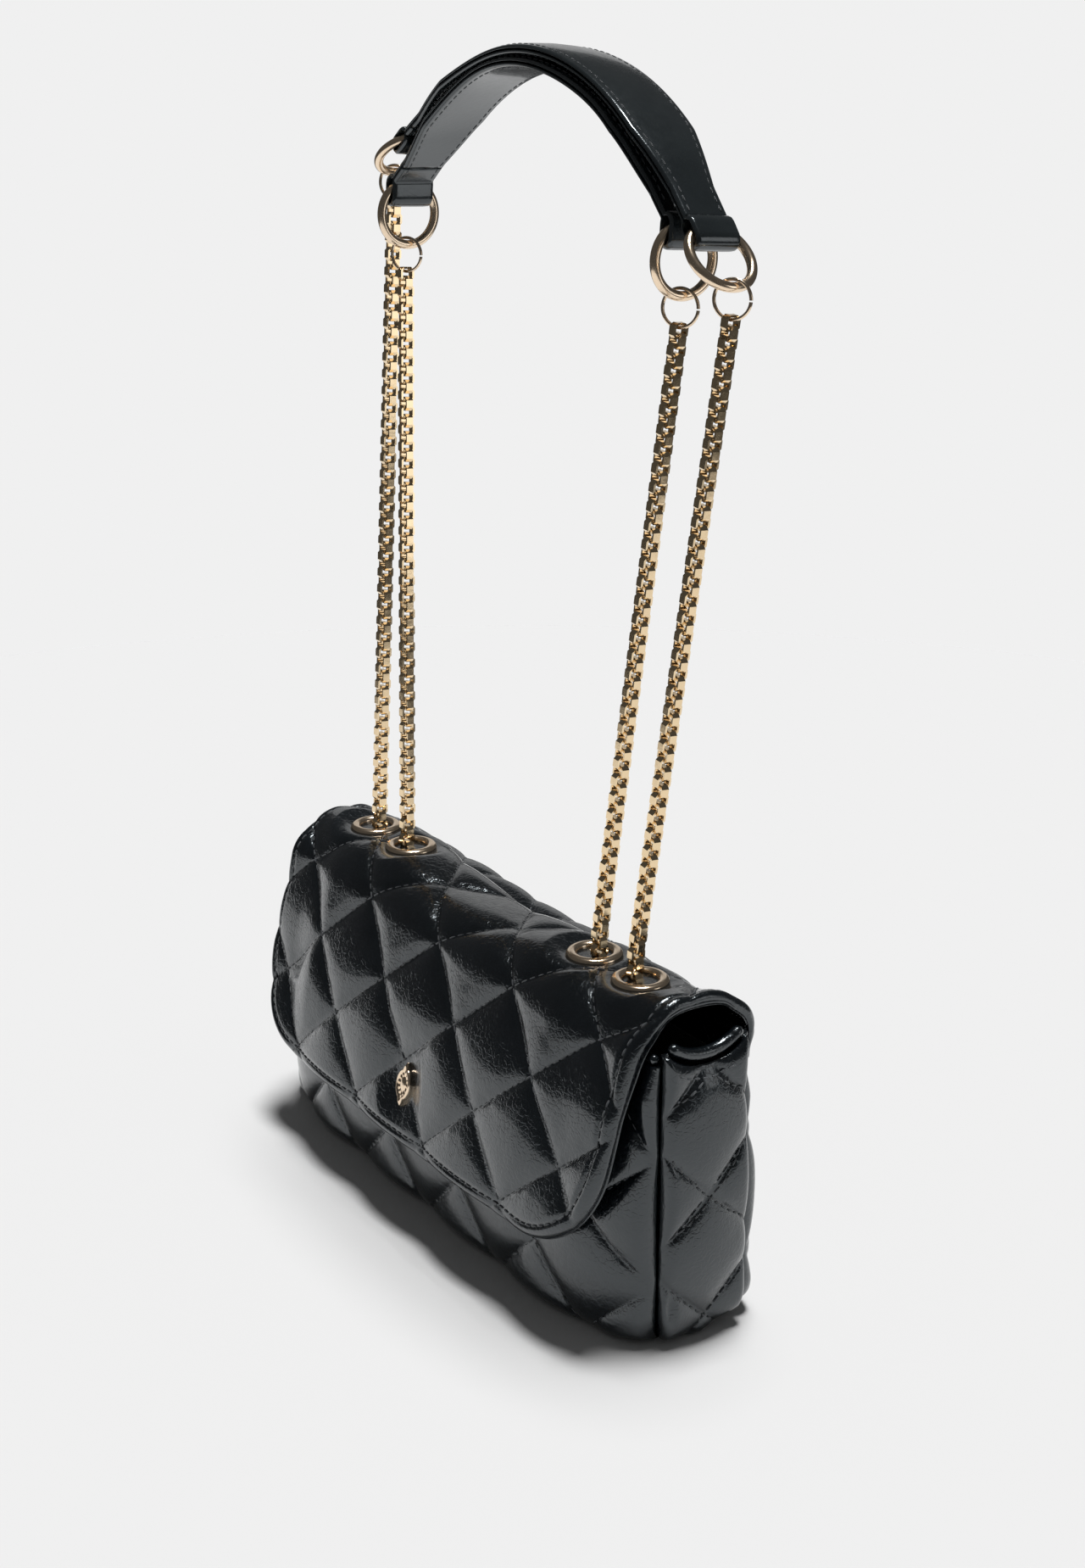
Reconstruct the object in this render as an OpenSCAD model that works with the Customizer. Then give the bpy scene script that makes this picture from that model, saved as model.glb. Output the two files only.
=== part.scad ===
// Quilted flap shoulder bag with two padded handles on box chains.
// Millimetres. X runs along the bag, the front faces -Y, Z is up and the bag stands on z = 0.

/* [Bag body] */
// Length of the bag along its base
bag_length = 245; // [200:1:300]
// Depth of the side gussets
gusset_depth = 39; // [34:1:50]
// Height of the front and back panels
panel_height = 102; // [94:1:103]
// Height of the gussets at their corners
gusset_height = 106; // [98:1:108]
// Dip of each gusset's top edge at its middle
gusset_dip = 6; // [3:0.5:9]
// How far the front panel swells at its middle
front_bulge = 16.5; // [4:0.5:17]
// How far the back panel swells at its middle
back_bulge = 9; // [2:0.5:14]
// How far a gusset swells at its middle
gusset_bulge = 2.5; // [0:0.5:5]
// Thickness of a quilted panel with its padding
panel_thickness = 3.4; // [2:0.2:5]
// Radius of the rolled hems along the mouth
hem_radius = 1.7; // [1:0.1:1.7]
// Thickness of the cloth lining
lining_thickness = 0.8; // [0.5:0.1:1.5]
// Height of the cloth lining
lining_height = 94; // [80:1:94]
// Thickness of the stiffener board in the base
board_thickness = 1.6; // [1:0.2:3]

/* [Quilting] */
// Width of one quilted diamond
quilt_width = 49; // [35:1:70]
// Height of one quilted diamond
quilt_height = 47; // [35:1:70]
// How far a diamond puffs out at its middle
quilt_puff = 2.4; // [0:0.2:2.6]

/* [Flap] */
// Height of the flap's crown at its seams
flap_top = 117; // [115:0.5:125]
// Thickness of the flap's quilted leather with its padding
flap_thickness = 3.2; // [2:0.2:3.4]
// Thickness of the leather that lines the flap
flap_lining_thickness = 0.8; // [0.5:0.1:1]
// Radius of the flap where it turns over the back edge
back_radius = 14; // [12:0.5:18]
// Radius of the flap where it turns down at the front
front_radius = 18; // [14:0.5:20]
// Width of the flat part of the crown
crown_width = 21.8; // [20:0.2:30]
// Angle by which the flap's front leans away from upright
flap_slope = 14.6; // [13:0.1:20]
// Length of the flap's straight front
flap_drop = 73.6; // [60:0.1:80]
// Radius of the flap's lower corners
corner_radius = 38.5; // [20:0.5:45]
// How much narrower each side of the flap is at its lower corners
flap_taper = 6.5; // [0:0.5:15]
// Length of the flap's sewn tail on the back panel
tail_length = 9; // [6:0.5:20]
// Width of the binding round the flap's edge
binding_width = 3.2; // [2:0.2:5]

/* [Eyelets and closure] */
// Distance from the flap's end to the middle of the outer eyelet
outer_eyelet_inset = 34; // [26:0.5:40]
// Distance between the middles of the two eyelets at one end
eyelet_spacing = 26.8; // [24:0.1:30]
// Place of the eyelets in front of the middle of the gussets
eyelet_y = 3; // [0:0.5:5]
// Diameter of an eyelet's flange
flange_diameter = 19.6; // [17:0.2:22]
// Diameter of an eyelet's hole
eyelet_hole = 12; // [11:0.2:13]
// Thickness of an eyelet's flange
flange_thickness = 1.3; // [0.8:0.1:2]
// Wall of an eyelet's barrel
barrel_wall = 0.6; // [0.4:0.1:1]
// Outer diameter of the washers under the flap
washer_diameter = 18; // [15:0.5:20]
// Thickness of the washers under the flap
washer_thickness = 0.8; // [0.5:0.1:1.5]
// Height of the snap and the ornament above the base
snap_height = 53.5; // [48:0.5:60]
// Diameter of the snap's two discs
snap_diameter = 14; // [10:0.5:16]
// Width of the oval ornament
ornament_width = 8.5; // [7:0.5:16]
// Height of the oval ornament
ornament_height = 12; // [10:0.5:22]
// Thickness of the oval ornament
ornament_thickness = 1.8; // [1:0.1:3]

/* [Chain] */
// Width of a chain link across the chain
link_width = 5.4; // [5.2:0.1:5.8]
// Length of a chain link along the chain
link_height = 5; // [5:0.1:5.6]
// Thickness of a link's strip
link_strip = 0.75; // [0.6:0.05:0.75]
// Depth of a link's strip at its corners
link_depth = 2.7; // [2.2:0.1:2.8]
// Depth of a link's strip at its waist
link_waist = 1.6; // [1.2:0.1:1.6]
// Slack between two interlocked links
link_slack = 0.45; // [0.4:0.01:0.5]

/* [Rings] */
// Outer diameter of the rings at the pads' ends
ring_diameter = 25; // [22:0.5:28]
// Wire of the rings at the pads' ends
ring_wire = 3.2; // [2.4:0.1:3.6]
// Outer diameter of the split jump rings
jump_diameter = 13; // [12:0.2:14]
// Wire of the split jump rings
jump_wire = 1.1; // [0.8:0.1:1.2]
// Width of the split in a jump ring
jump_split = 0.5; // [0.2:0.1:1]

/* [Shoulder pads] */
// Length of a pad between the middles of its loops
pad_length = 195; // [170:1:210]
// Width of a pad along its arch
pad_width = 25; // [18:0.5:30]
// Width of a pad at its loops
loop_width = 16; // [12:0.5:18]
// Thickness of one ply of a pad
ply_thickness = 1.7; // [1:0.1:1.9]
// Radius of the inner pad's arch, which is more pointed
inner_pad_radius = 90; // [86:0.1:95]
// How much wider the outer pad's arch is than the inner pad's, in radius
arch_widening = 15.2; // [13:0.1:18]
// Half angle of the outer pad's arch
outer_arch_angle = 41.6; // [40:0.1:44]
// Half angle of the inner pad's arch
inner_arch_angle = 43.3; // [42:0.1:45]
// Distance between the middles of the two pads at their top
pad_spacing = 4.1; // [4:0.1:6]
// Turn of the outer pad round its arch, where it slipped to the right
pad_slip = 5.5; // [3:0.1:7]
// Shift of the outer pad to the right
pad_shift = 2.5; // [1:0.1:5]
// Height of the outer arch's middle above the base
arch_height = 304; // [280:1:330]
// Backward lean of the raised handles
strap_lean = 4.1; // [0:0.1:6]

/* [Hidden] */

// Fits shared by the whole bag
seam_gap = 0.3;
glue_gap = 0.1;
overrun = 1;
leather = [0.09, 0.1, 0.11];
cloth = [0.2, 0.2, 0.21];
metal = [0.86, 0.73, 0.52];
board = [0.45, 0.4, 0.33];

// Body
half_length = bag_length / 2;
half_depth = gusset_depth / 2;
// Height at which the front swells most, and how much of the swelling is left at the base
bulge_height = 35;
base_bulge_share = 0.72;
bulge_power = 1.4;
cells_per_diamond = 4;
panel_columns = cells_per_diamond * round(bag_length / quilt_width);
panel_rows = round(panel_height * cells_per_diamond / quilt_height);
gusset_columns = cells_per_diamond;
gusset_half_width = half_depth - panel_thickness - seam_gap;
gusset_x = half_length - panel_thickness;
hem_arc_radius = (gusset_half_width ^ 2 + gusset_dip ^ 2) / (2 * gusset_dip);
gusset_roll_radius = min(panel_thickness / 2 + glue_gap, hem_radius);
// The gusset's top edge is cut into straight lengths, which rise this much above its arc
edge_rise = hem_arc_radius - sqrt(hem_arc_radius ^ 2 - (gusset_half_width / gusset_columns) ^ 2);
hem_path_radius = hem_arc_radius - gusset_roll_radius - edge_rise - 2 * glue_gap;
lining_floor = panel_thickness + board_thickness + seam_gap;
board_margin = 3;
puff_power = 0.6;

// Flap section, followed from the hinge over the crown to the lower edge
tail_gap = 0.3;
flap_total_thickness = flap_thickness + flap_lining_thickness + glue_gap;
hinge_y = half_depth + tail_gap + flap_total_thickness;
hinge_z = flap_top - back_radius;
crown_back_y = hinge_y - back_radius;
crown_front_y = crown_back_y - crown_width;
front_turn = 90 - flap_slope;
back_arc_length = back_radius * PI / 2;
front_arc_length = front_radius * front_turn * PI / 180;
crown_end = back_arc_length + crown_width;
front_start = crown_end + front_arc_length;
flap_length = front_start + flap_drop;
front_top_y = crown_front_y - front_radius * cos(flap_slope);
front_top_z = flap_top - front_radius + front_radius * sin(flap_slope);
// Height of the quilting seams' crossing at mid length on the flap's front
crossing_height = 61;
crossing_s = front_start + (front_top_z - crossing_height) / cos(flap_slope);
hinge_gap = 0.15;
tail_bottom = hinge_z - hinge_gap - tail_length;
binding_half_height = flap_total_thickness / 2 + glue_gap;
flap_inset = binding_width + glue_gap;
corner_start = flap_length - corner_radius;
corner_steps = 8;
edge_sides = 8;
flap_cell = quilt_height / cells_per_diamond;
first_straight_row = crossing_s - flap_cell * floor((crossing_s - front_start) / flap_cell - 0.2);
arc_steps = 6;
crown_steps = 4;

// Eyelets, snap and ornament
flap_underside = flap_top - flap_total_thickness;
outer_eyelet_x = half_length - outer_eyelet_inset;
inner_eyelet_x = outer_eyelet_x - eyelet_spacing;
eyelet_xs = [-outer_eyelet_x, -inner_eyelet_x, inner_eyelet_x, outer_eyelet_x];
eyelet_seat = flap_top + seam_gap;
eyelet_top = eyelet_seat + flange_thickness;
barrel_radius = eyelet_hole / 2 + barrel_wall;
barrel_clearance = 0.2;
flange_lip = 0.5;
snap_s = front_start + (front_top_z - snap_height) / cos(flap_slope);
stud_plate = 0.9;
stud_pin = 1;
stud_pin_radius = 3;
socket_plate = 1.8;
socket_hole_radius = 4.2;
snap_clear_radius = 20;
socket_gap = 0.4;
ornament_rim = 1.2;
ornament_relief = 0.8;
ornament_lobe_radius = 2.2;
ornament_gap = 0.3;
ornament_clear_radius = ornament_height;

// Chain
link_pitch = link_height - 2 * link_strip - link_slack;
link_corner = 1.2;
corner_share = 2 - sqrt(2);
waist_radius = 3;
fold_links = 3;
fold_z = eyelet_top - link_strip;
fold_step = strap_lean / (fold_links + 1);
// Each chain leans on its eyelet, towards the other eyelet of its pair
chain_rest_gap = 0.28;
chain_lean = sqrt((eyelet_hole / 2) ^ 2 - (link_depth / 2) ^ 2) - link_width / 2 - chain_rest_gap;
outer_chain_x = outer_eyelet_x - chain_lean;
inner_chain_x = inner_eyelet_x + chain_lean;
run_radius = (outer_chain_x - inner_chain_x) / 2;
run_depth = eyelet_top - flap_underside + washer_thickness + flange_lip;
run_links = 2 * ceil((run_radius * PI / 2 + run_depth) / link_pitch);
run_leg = (run_links * link_pitch - run_radius * PI) / 2;

// Handles. Heights in the handles' own plane are counted from the top of the folding links
function fold_pivot(n) =
    n == 0 ? [-eyelet_y, fold_z] : fold_pivot(n - 1) + link_pitch * [sin(n * fold_step), cos(n * fold_step)];
strap_origin = fold_pivot(fold_links);
arch_centre = (arch_height - strap_origin[1]) / cos(strap_lean);
ring_radius = (ring_diameter - ring_wire) / 2;
jump_radius = (jump_diameter - jump_wire) / 2;
ring_play = 0.3;
loop_bore = ring_wire / 2 + ring_play;
loop_radius = loop_bore + ply_thickness;
ring_rise = sqrt(ring_radius ^ 2 - (loop_width / 2) ^ 2);
loop_slot = ring_radius - ring_rise + ring_wire / 2 * (ring_radius / ring_rise - 1) + ring_play;
jump_drop = jump_radius - (ring_wire + jump_wire) / 2 - ring_play;
link_hang = link_height / 2 - link_strip - jump_wire / 2 - ring_play;
outer_pad_radius = inner_pad_radius + arch_widening;
outer_arch = [outer_pad_radius, outer_arch_angle];
inner_arch = [inner_pad_radius, inner_arch_angle];
inner_arch_centre = arch_centre + outer_pad_radius - pad_spacing - inner_pad_radius;
taper_start_share = 0.66;
taper_end_share = 0.88;
lining_angle_share = 0.94;
arch_steps = 24;
// Swing of each end ring away from straight down, and turn of each jump ring about the chain
outer_left_swing_angle = 52;
outer_right_swing_angle = 42;
outer_left_turn_angle = 32;
outer_right_turn_angle = 30;
inner_left_turn_angle = 30;
inner_right_turn_angle = 30;

function unit(angle) = [sin(angle), cos(angle)];
// An arch is given as [radius, half angle], and a pad goes straight on from each of its ends
function pad_straight(arch) = pad_length / 2 - arch[0] * arch[1] * PI / 180;
// Middle of a pad's loop, from the middle of its arch, with side -1 on the left and 1 on the right
function loop_from_arch(arch, side) =
    [side * (arch[0] * sin(arch[1]) + pad_straight(arch) * cos(arch[1])),
     arch[0] * cos(arch[1]) - pad_straight(arch) * sin(arch[1])];
function turned(p, angle) =
    [p[0] * cos(angle) + p[1] * sin(angle), p[1] * cos(angle) - p[0] * sin(angle)];
function inner_loop(side) = [0, inner_arch_centre] + loop_from_arch(inner_arch, side);
function outer_loop(side) =
    [pad_shift, arch_centre] + turned(loop_from_arch(outer_arch, side), pad_slip);
// An end ring's middle hangs from its loop, and a jump ring's middle hangs below the end ring's wire
function hung_ring(loop, swing) = loop + ring_radius * [sin(swing), -cos(swing)];
function hung_jump(loop, swing) = loop + 2 * ring_radius * [sin(swing), -cos(swing)] - [0, jump_drop];

// Share of a panel's swelling at a height z, where the swelling ends at a height top
function bulge_share(z, top) =
    z > bulge_height
        ? pow(max(sin(90 * (top - z) / (top - bulge_height)), 0), bulge_power)
        : 1 - (1 - base_bulge_share) * ((bulge_height - z) / bulge_height) ^ 2;
function panel_y(x, z, bulge, top) = half_depth + bulge * bulge_share(z, top) * (1 - (x / half_length) ^ 2);
function front_y(x, z) = panel_y(x, z, front_bulge, panel_height);
function back_y(x, z) = panel_y(x, z, back_bulge, tail_bottom);
// Puff of the quilting at a place counted in diamonds from a crossing of two seams
function puff(across, along) =
    quilt_puff * pow(abs(sin(180 * (across + along)) * sin(180 * (across - along))), puff_power);
function inside(i, last) = i > 0 && i < last ? 1 : 0;

// Point and outward direction of the flap's outer face, s along its section, as [y, z]
function flap_point(s) =
    s < back_arc_length ? [crown_back_y + back_radius * cos(s / back_radius * 180 / PI),
                           hinge_z + back_radius * sin(s / back_radius * 180 / PI)] :
    s < crown_end ? [crown_back_y - (s - back_arc_length), flap_top] :
    s < front_start ? [crown_front_y - front_radius * sin((s - crown_end) / front_radius * 180 / PI),
                       flap_top - front_radius * (1 - cos((s - crown_end) / front_radius * 180 / PI))] :
    [front_top_y - (s - front_start) * sin(flap_slope), front_top_z - (s - front_start) * cos(flap_slope)];
function flap_angle(s) =
    s < back_arc_length ? 90 - s / back_radius * 180 / PI :
    s < crown_end ? 0 :
    s < front_start ? -(s - crown_end) / front_radius * 180 / PI :
    -front_turn;
function flap_face(x, s, depth) =
    let (p = flap_point(s) - depth * unit(flap_angle(s))) [x, p[0], p[1]];
// Half the flap's width at s, inset from its bound edge
function flap_side(s, inset) =
    let (full = half_length - flap_taper * min(max((s - front_start) / (corner_start - front_start), 0), 1))
    s < corner_start ? full - inset :
    full - corner_radius + (corner_radius - inset) *
        sqrt(max(1 - ((s - corner_start) / (corner_radius - inset)) ^ 2, 0));
function flap_rows(inset) = concat(
    [hinge_gap],
    [for (i = [1 : arc_steps]) back_arc_length * i / arc_steps],
    [for (i = [1 : crown_steps]) back_arc_length + crown_width * i / crown_steps],
    [for (i = [1 : arc_steps]) crown_end + front_arc_length * i / arc_steps],
    [for (s = [first_straight_row : flap_cell : corner_start]) s],
    [for (i = [1 : corner_steps]) corner_start + (corner_radius - inset) * sin(90 * i / corner_steps)]
);

// Closed sheet between an outer and an inner grid of points, split along the quilting's seams
module sheet(outer, inner, lift) {
    rows = len(outer);
    columns = len(outer[0]);
    count = rows * columns;
    function at(r, c) = r * columns + c;
    function cell(a, b, c, d, first) = first ? [[a, b, c], [a, c, d]] : [[a, b, d], [b, c, d]];
    function split(r, c) = lift[r][c] + lift[r + 1][c + 1] <= lift[r + 1][c] + lift[r][c + 1];
    polyhedron(
        points = concat([for (row = outer) each row], [for (row = inner) each row]),
        faces = concat(
            [for (r = [0 : rows - 2]) for (c = [0 : columns - 2])
                each cell(at(r, c), at(r + 1, c), at(r + 1, c + 1), at(r, c + 1), split(r, c))],
            [for (r = [0 : rows - 2]) for (c = [0 : columns - 2])
                each cell(count + at(r, c), count + at(r, c + 1), count + at(r + 1, c + 1), count + at(r + 1, c), true)],
            [for (r = [0 : rows - 2]) each cell(at(r, 0), count + at(r, 0), count + at(r + 1, 0), at(r + 1, 0), true)],
            [for (r = [0 : rows - 2]) each cell(at(r, columns - 1), at(r + 1, columns - 1),
                count + at(r + 1, columns - 1), count + at(r, columns - 1), true)],
            [for (c = [0 : columns - 2]) each cell(at(0, c), at(0, c + 1), count + at(0, c + 1), count + at(0, c), true)],
            [for (c = [0 : columns - 2]) each cell(at(rows - 1, c), count + at(rows - 1, c),
                count + at(rows - 1, c + 1), at(rows - 1, c + 1), true)]
        ),
        convexity = 8
    );
}

// Body built from quilted panels
module long_panel(bulge, top, snap_seat) {
    xs = [for (i = [0 : panel_columns]) half_length * (2 * i / panel_columns - 1)];
    zs = [for (j = [0 : panel_rows]) panel_height * j / panel_rows];
    plain_top = top - quilt_height / cells_per_diamond;
    function flat(x, z) = z > plain_top || snap_seat && norm([x, z - snap_height]) < snap_clear_radius;
    lift = [for (j = [0 : panel_rows]) [for (i = [0 : panel_columns])
        flat(xs[i], zs[j]) ? 0 : inside(i, panel_columns) * inside(j, panel_rows)
            * puff((i - panel_columns / 2) / cells_per_diamond, j / cells_per_diamond)]];
    outer = [for (j = [0 : panel_rows]) [for (i = [0 : panel_columns])
        [xs[i], -panel_y(xs[i], zs[j], bulge, top) - lift[j][i], zs[j]]]];
    inner = [for (j = [0 : panel_rows]) [for (i = [0 : panel_columns])
        [xs[i], panel_thickness - panel_y(xs[i], zs[j], bulge, top), zs[j]]]];
    sheet(outer, inner, lift);
}

module front_panel() {
    color(leather) long_panel(front_bulge, panel_height, true);
}

module back_panel() {
    color(leather) rotate(180) long_panel(back_bulge, tail_bottom, false);
}

function dip_at(y) = hem_arc_radius - gusset_dip - sqrt(hem_arc_radius ^ 2 - y ^ 2);

module gusset() {
    ys = [for (i = [0 : gusset_columns]) gusset_half_width * (2 * i / gusset_columns - 1)];
    shares = [for (j = [0 : panel_rows]) j / panel_rows];
    lift = [for (j = [0 : panel_rows]) [for (i = [0 : gusset_columns])
        inside(i, gusset_columns) * inside(j, panel_rows)
            * puff((i - gusset_columns / 2) / cells_per_diamond, (j - 1) / cells_per_diamond)]];
    function swell(i, j) = gusset_bulge * sin(180 * shares[j]) * (1 - (ys[i] / gusset_half_width) ^ 2);
    function height(i, j) = shares[j] * (gusset_height + dip_at(ys[i]));
    outer = [for (j = [0 : panel_rows]) [for (i = [0 : gusset_columns])
        [half_length + swell(i, j) + lift[j][i], ys[i], height(i, j)]]];
    inner = [for (j = [0 : panel_rows]) [for (i = [0 : gusset_columns])
        [gusset_x + swell(i, j), ys[i], height(i, j)]]];
    sheet(outer, inner, lift);
}

module gusset_right() {
    color(leather) gusset();
}

module gusset_left() {
    color(leather) mirror([1, 0, 0]) gusset();
}

// Outline of the floor inside the panels, drawn in by a margin
module floor_outline(margin) {
    half = gusset_x - margin;
    function share_x(i) = half * (2 * i / panel_columns - 1);
    polygon(concat(
        [for (i = [0 : panel_columns]) [share_x(i), panel_thickness + margin - front_y(share_x(i), 0)]],
        [for (i = [panel_columns : -1 : 0]) [share_x(i), back_y(share_x(i), 0) - panel_thickness - margin]]
    ));
}

module base_panel() {
    color(leather) linear_extrude(panel_thickness) floor_outline(seam_gap);
}

module base_board() {
    color(board) translate([0, 0, panel_thickness]) linear_extrude(board_thickness) floor_outline(board_margin);
}

module straight_hem() {
    translate([0, half_depth - panel_thickness / 2, panel_height + hem_radius + glue_gap])
        rotate([0, 90, 0]) cylinder(h = 2 * gusset_x, r = hem_radius, center = true, $fn = 32);
}

module back_hem() {
    color(leather) straight_hem();
}

module front_hem() {
    color(leather) mirror([0, 1, 0]) straight_hem();
}

module gusset_hem() {
    sweep = 2 * asin(gusset_half_width / hem_arc_radius);
    translate([half_length - panel_thickness / 2, 0, gusset_height - gusset_dip + hem_arc_radius])
        rotate([0, 90, 0]) rotate(-sweep / 2)
            rotate_extrude(angle = sweep, $fn = 96)
                translate([hem_path_radius, 0]) circle(r = gusset_roll_radius, $fn = 24);
}

module gusset_hem_right() {
    color(leather) gusset_hem();
}

module gusset_hem_left() {
    color(leather) mirror([1, 0, 0]) gusset_hem();
}

// Cloth bag inside the panels, its outer rings going up and its inner rings going down
module lining() {
    columns = panel_columns / 2;
    function ring(z, margin) =
        let (half = gusset_x - margin)
        concat(
            [for (i = [0 : columns]) let (x = half * (2 * i / columns - 1))
                [x, panel_thickness + margin - front_y(x, z), z]],
            [for (i = [columns : -1 : 0]) let (x = half * (2 * i / columns - 1))
                [x, back_y(x, z) - panel_thickness - margin, z]]
        );
    floor_margin = seam_gap + lining_thickness;
    row_height = panel_height / panel_rows;
    between = [for (j = [1 : panel_rows]) if (j * row_height < lining_height - lining_thickness) j * row_height];
    up = concat([lining_floor], between, [lining_height]);
    down = [for (j = [len(up) - 1 : -1 : 0]) j == 0 ? lining_floor + lining_thickness : up[j]];
    rings = concat([for (z = up) ring(z, seam_gap)], [for (z = down) ring(z, floor_margin)]);
    count = len(rings[0]);
    color(cloth) polyhedron(
        points = [for (r = rings) each r],
        faces = concat(
            [[for (i = [0 : count - 1]) i]],
            [for (r = [0 : len(rings) - 2]) for (i = [0 : count - 1])
                let (a = r * count + i, b = r * count + (i + 1) % count)
                each [[a, a + count, b + count], [a, b + count, b]]],
            [[for (i = [count - 1 : -1 : 0]) (len(rings) - 1) * count + i]]
        ),
        convexity = 8
    );
}

// Flap
module flap_sheet(top_depth, bottom_depth, columns, quilted) {
    rows = flap_rows(flap_inset);
    last = len(rows) - 1;
    function x_at(i, s) = flap_side(s, flap_inset) * (1 - 2 * i / columns);
    function flat(x, s) = !quilted || norm([x, s - snap_s]) < ornament_clear_radius;
    lift = [for (j = [0 : last]) [for (i = [0 : columns])
        flat(x_at(i, rows[j]), rows[j]) ? 0 : inside(i, columns) * inside(j, last)
            * puff(x_at(i, rows[j]) / quilt_width, (rows[j] - crossing_s) / quilt_height)]];
    outer = [for (j = [0 : last]) [for (i = [0 : columns])
        flap_face(x_at(i, rows[j]), rows[j], top_depth - lift[j][i])]];
    inner = [for (j = [0 : last]) [for (i = [0 : columns])
        flap_face(x_at(i, rows[j]), rows[j], bottom_depth)]];
    sheet(outer, inner, lift);
}

module eyelet_cuts(radius) {
    for (x = eyelet_xs)
        translate([x, -eyelet_y, flap_underside - overrun])
            cylinder(h = flap_total_thickness + quilt_puff + 2 * overrun, r = radius, $fn = 48);
}

module flap() {
    color(leather) difference() {
        flap_sheet(0, flap_thickness, panel_columns, true);
        eyelet_cuts(barrel_radius + barrel_clearance);
        for (x = eyelet_xs)
            translate([x, -eyelet_y, flap_top + seam_gap / 2])
                cylinder(h = quilt_puff + overrun, r = flange_diameter / 2 + seam_gap, $fn = 48);
    }
}

module flap_lining() {
    color(leather) difference() {
        flap_sheet(flap_thickness + glue_gap, flap_total_thickness, cells_per_diamond, false);
        eyelet_cuts(barrel_radius + barrel_clearance);
    }
}

// Bound edge, a rounded strip along the flap's outline
module flap_binding() {
    inset = binding_width / 2;
    rows = flap_rows(inset);
    side = [for (s = rows) if (s < flap_length - inset - glue_gap) s];
    bottom = [for (i = [1 : panel_columns / 2 - 1]) 2 * i / (panel_columns / 2) - 1];
    end_x = flap_side(flap_length - inset, inset);
    function out_angle(s) = s < corner_start ? 0 : asin(min((s - corner_start) / (corner_radius - inset), 1));
    path = concat(
        [for (s = side) [flap_side(s, inset), s, out_angle(s)]],
        [[end_x, flap_length - inset, 90]],
        [for (share = bottom) [-share * end_x, flap_length - inset, 90]],
        [[-end_x, flap_length - inset, 90]],
        [for (i = [len(side) - 1 : -1 : 0]) [-flap_side(side[i], inset), side[i], 180 - out_angle(side[i])]]
    );
    function ring(p) =
        let (
            tilt = flap_angle(p[1]),
            up = [0, sin(tilt), cos(tilt)],
            along = [0, -cos(tilt), sin(tilt)],
            out = [cos(p[2]), 0, 0] + sin(p[2]) * along,
            middle = flap_face(p[0], p[1], flap_total_thickness / 2)
        )
        [for (k = [0 : edge_sides - 1]) let (a = 360 * (k + 0.5) / edge_sides)
            middle + out * binding_width / 2 * cos(a) + up * binding_half_height * sin(a)];
    rings = [for (p = path) ring(p)];
    count = edge_sides;
    color(leather) polyhedron(
        points = [for (r = rings) each r],
        faces = concat(
            [[for (i = [0 : count - 1]) i]],
            [for (r = [0 : len(rings) - 2]) for (i = [0 : count - 1])
                let (a = r * count + i, b = r * count + (i + 1) % count)
                each [[a, a + count, b + count], [a, b + count, b]]],
            [[for (i = [count - 1 : -1 : 0]) (len(rings) - 1) * count + i]]
        ),
        convexity = 8
    );
}

module flap_tail() {
    color(leather)
        translate([0, half_depth + tail_gap + flap_total_thickness / 2, tail_bottom + tail_length / 2])
            cube([bag_length - 2 * glue_gap, flap_total_thickness, tail_length], center = true);
}

// Eyelets and their washers
module eyelet(i) {
    color(metal) translate([eyelet_xs[i], -eyelet_y, 0]) difference() {
        union() {
            translate([0, 0, eyelet_seat]) rotate_extrude($fn = 64)
                polygon([
                    [eyelet_hole / 2 - barrel_wall, 0],
                    [flange_diameter / 2, 0],
                    [flange_diameter / 2, flange_thickness - flange_lip],
                    [flange_diameter / 2 - flange_lip, flange_thickness],
                    [eyelet_hole / 2 - barrel_wall, flange_thickness]
                ]);
            translate([0, 0, flap_underside - washer_thickness - flange_lip])
                cylinder(h = eyelet_seat - flap_underside + washer_thickness + flange_lip, r = barrel_radius, $fn = 64);
        }
        translate([0, 0, flap_underside - washer_thickness - flange_lip - overrun])
            cylinder(
                h = eyelet_top - flap_underside + washer_thickness + flange_lip + 2 * overrun,
                r = eyelet_hole / 2, $fn = 64
            );
    }
}

module eyelet_1() { eyelet(0); }
module eyelet_2() { eyelet(1); }
module eyelet_3() { eyelet(2); }
module eyelet_4() { eyelet(3); }

module eyelet_washer(i) {
    color(metal) translate([eyelet_xs[i], -eyelet_y, flap_underside - glue_gap - washer_thickness]) difference() {
        cylinder(h = washer_thickness, r = washer_diameter / 2, $fn = 64);
        translate([0, 0, -overrun])
            cylinder(h = washer_thickness + 2 * overrun, r = barrel_radius + glue_gap / 2, $fn = 64);
    }
}

module eyelet_washer_1() { eyelet_washer(0); }
module eyelet_washer_2() { eyelet_washer(1); }
module eyelet_washer_3() { eyelet_washer(2); }
module eyelet_washer_4() { eyelet_washer(3); }

// Puts a shape on the flap's front at s, with its z axis straight out of the leather
module on_flap_front(s, depth) {
    p = flap_face(0, s, depth);
    translate(p) rotate([-flap_angle(s), 0, 0]) children();
}

module snap_stud() {
    color(metal) on_flap_front(snap_s, flap_total_thickness + glue_gap + stud_plate) {
        cylinder(h = stud_plate, r = snap_diameter / 2, $fn = 48);
        translate([0, 0, -stud_pin]) cylinder(h = stud_pin + overrun / 2, r = stud_pin_radius, $fn = 48);
    }
}

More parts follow.
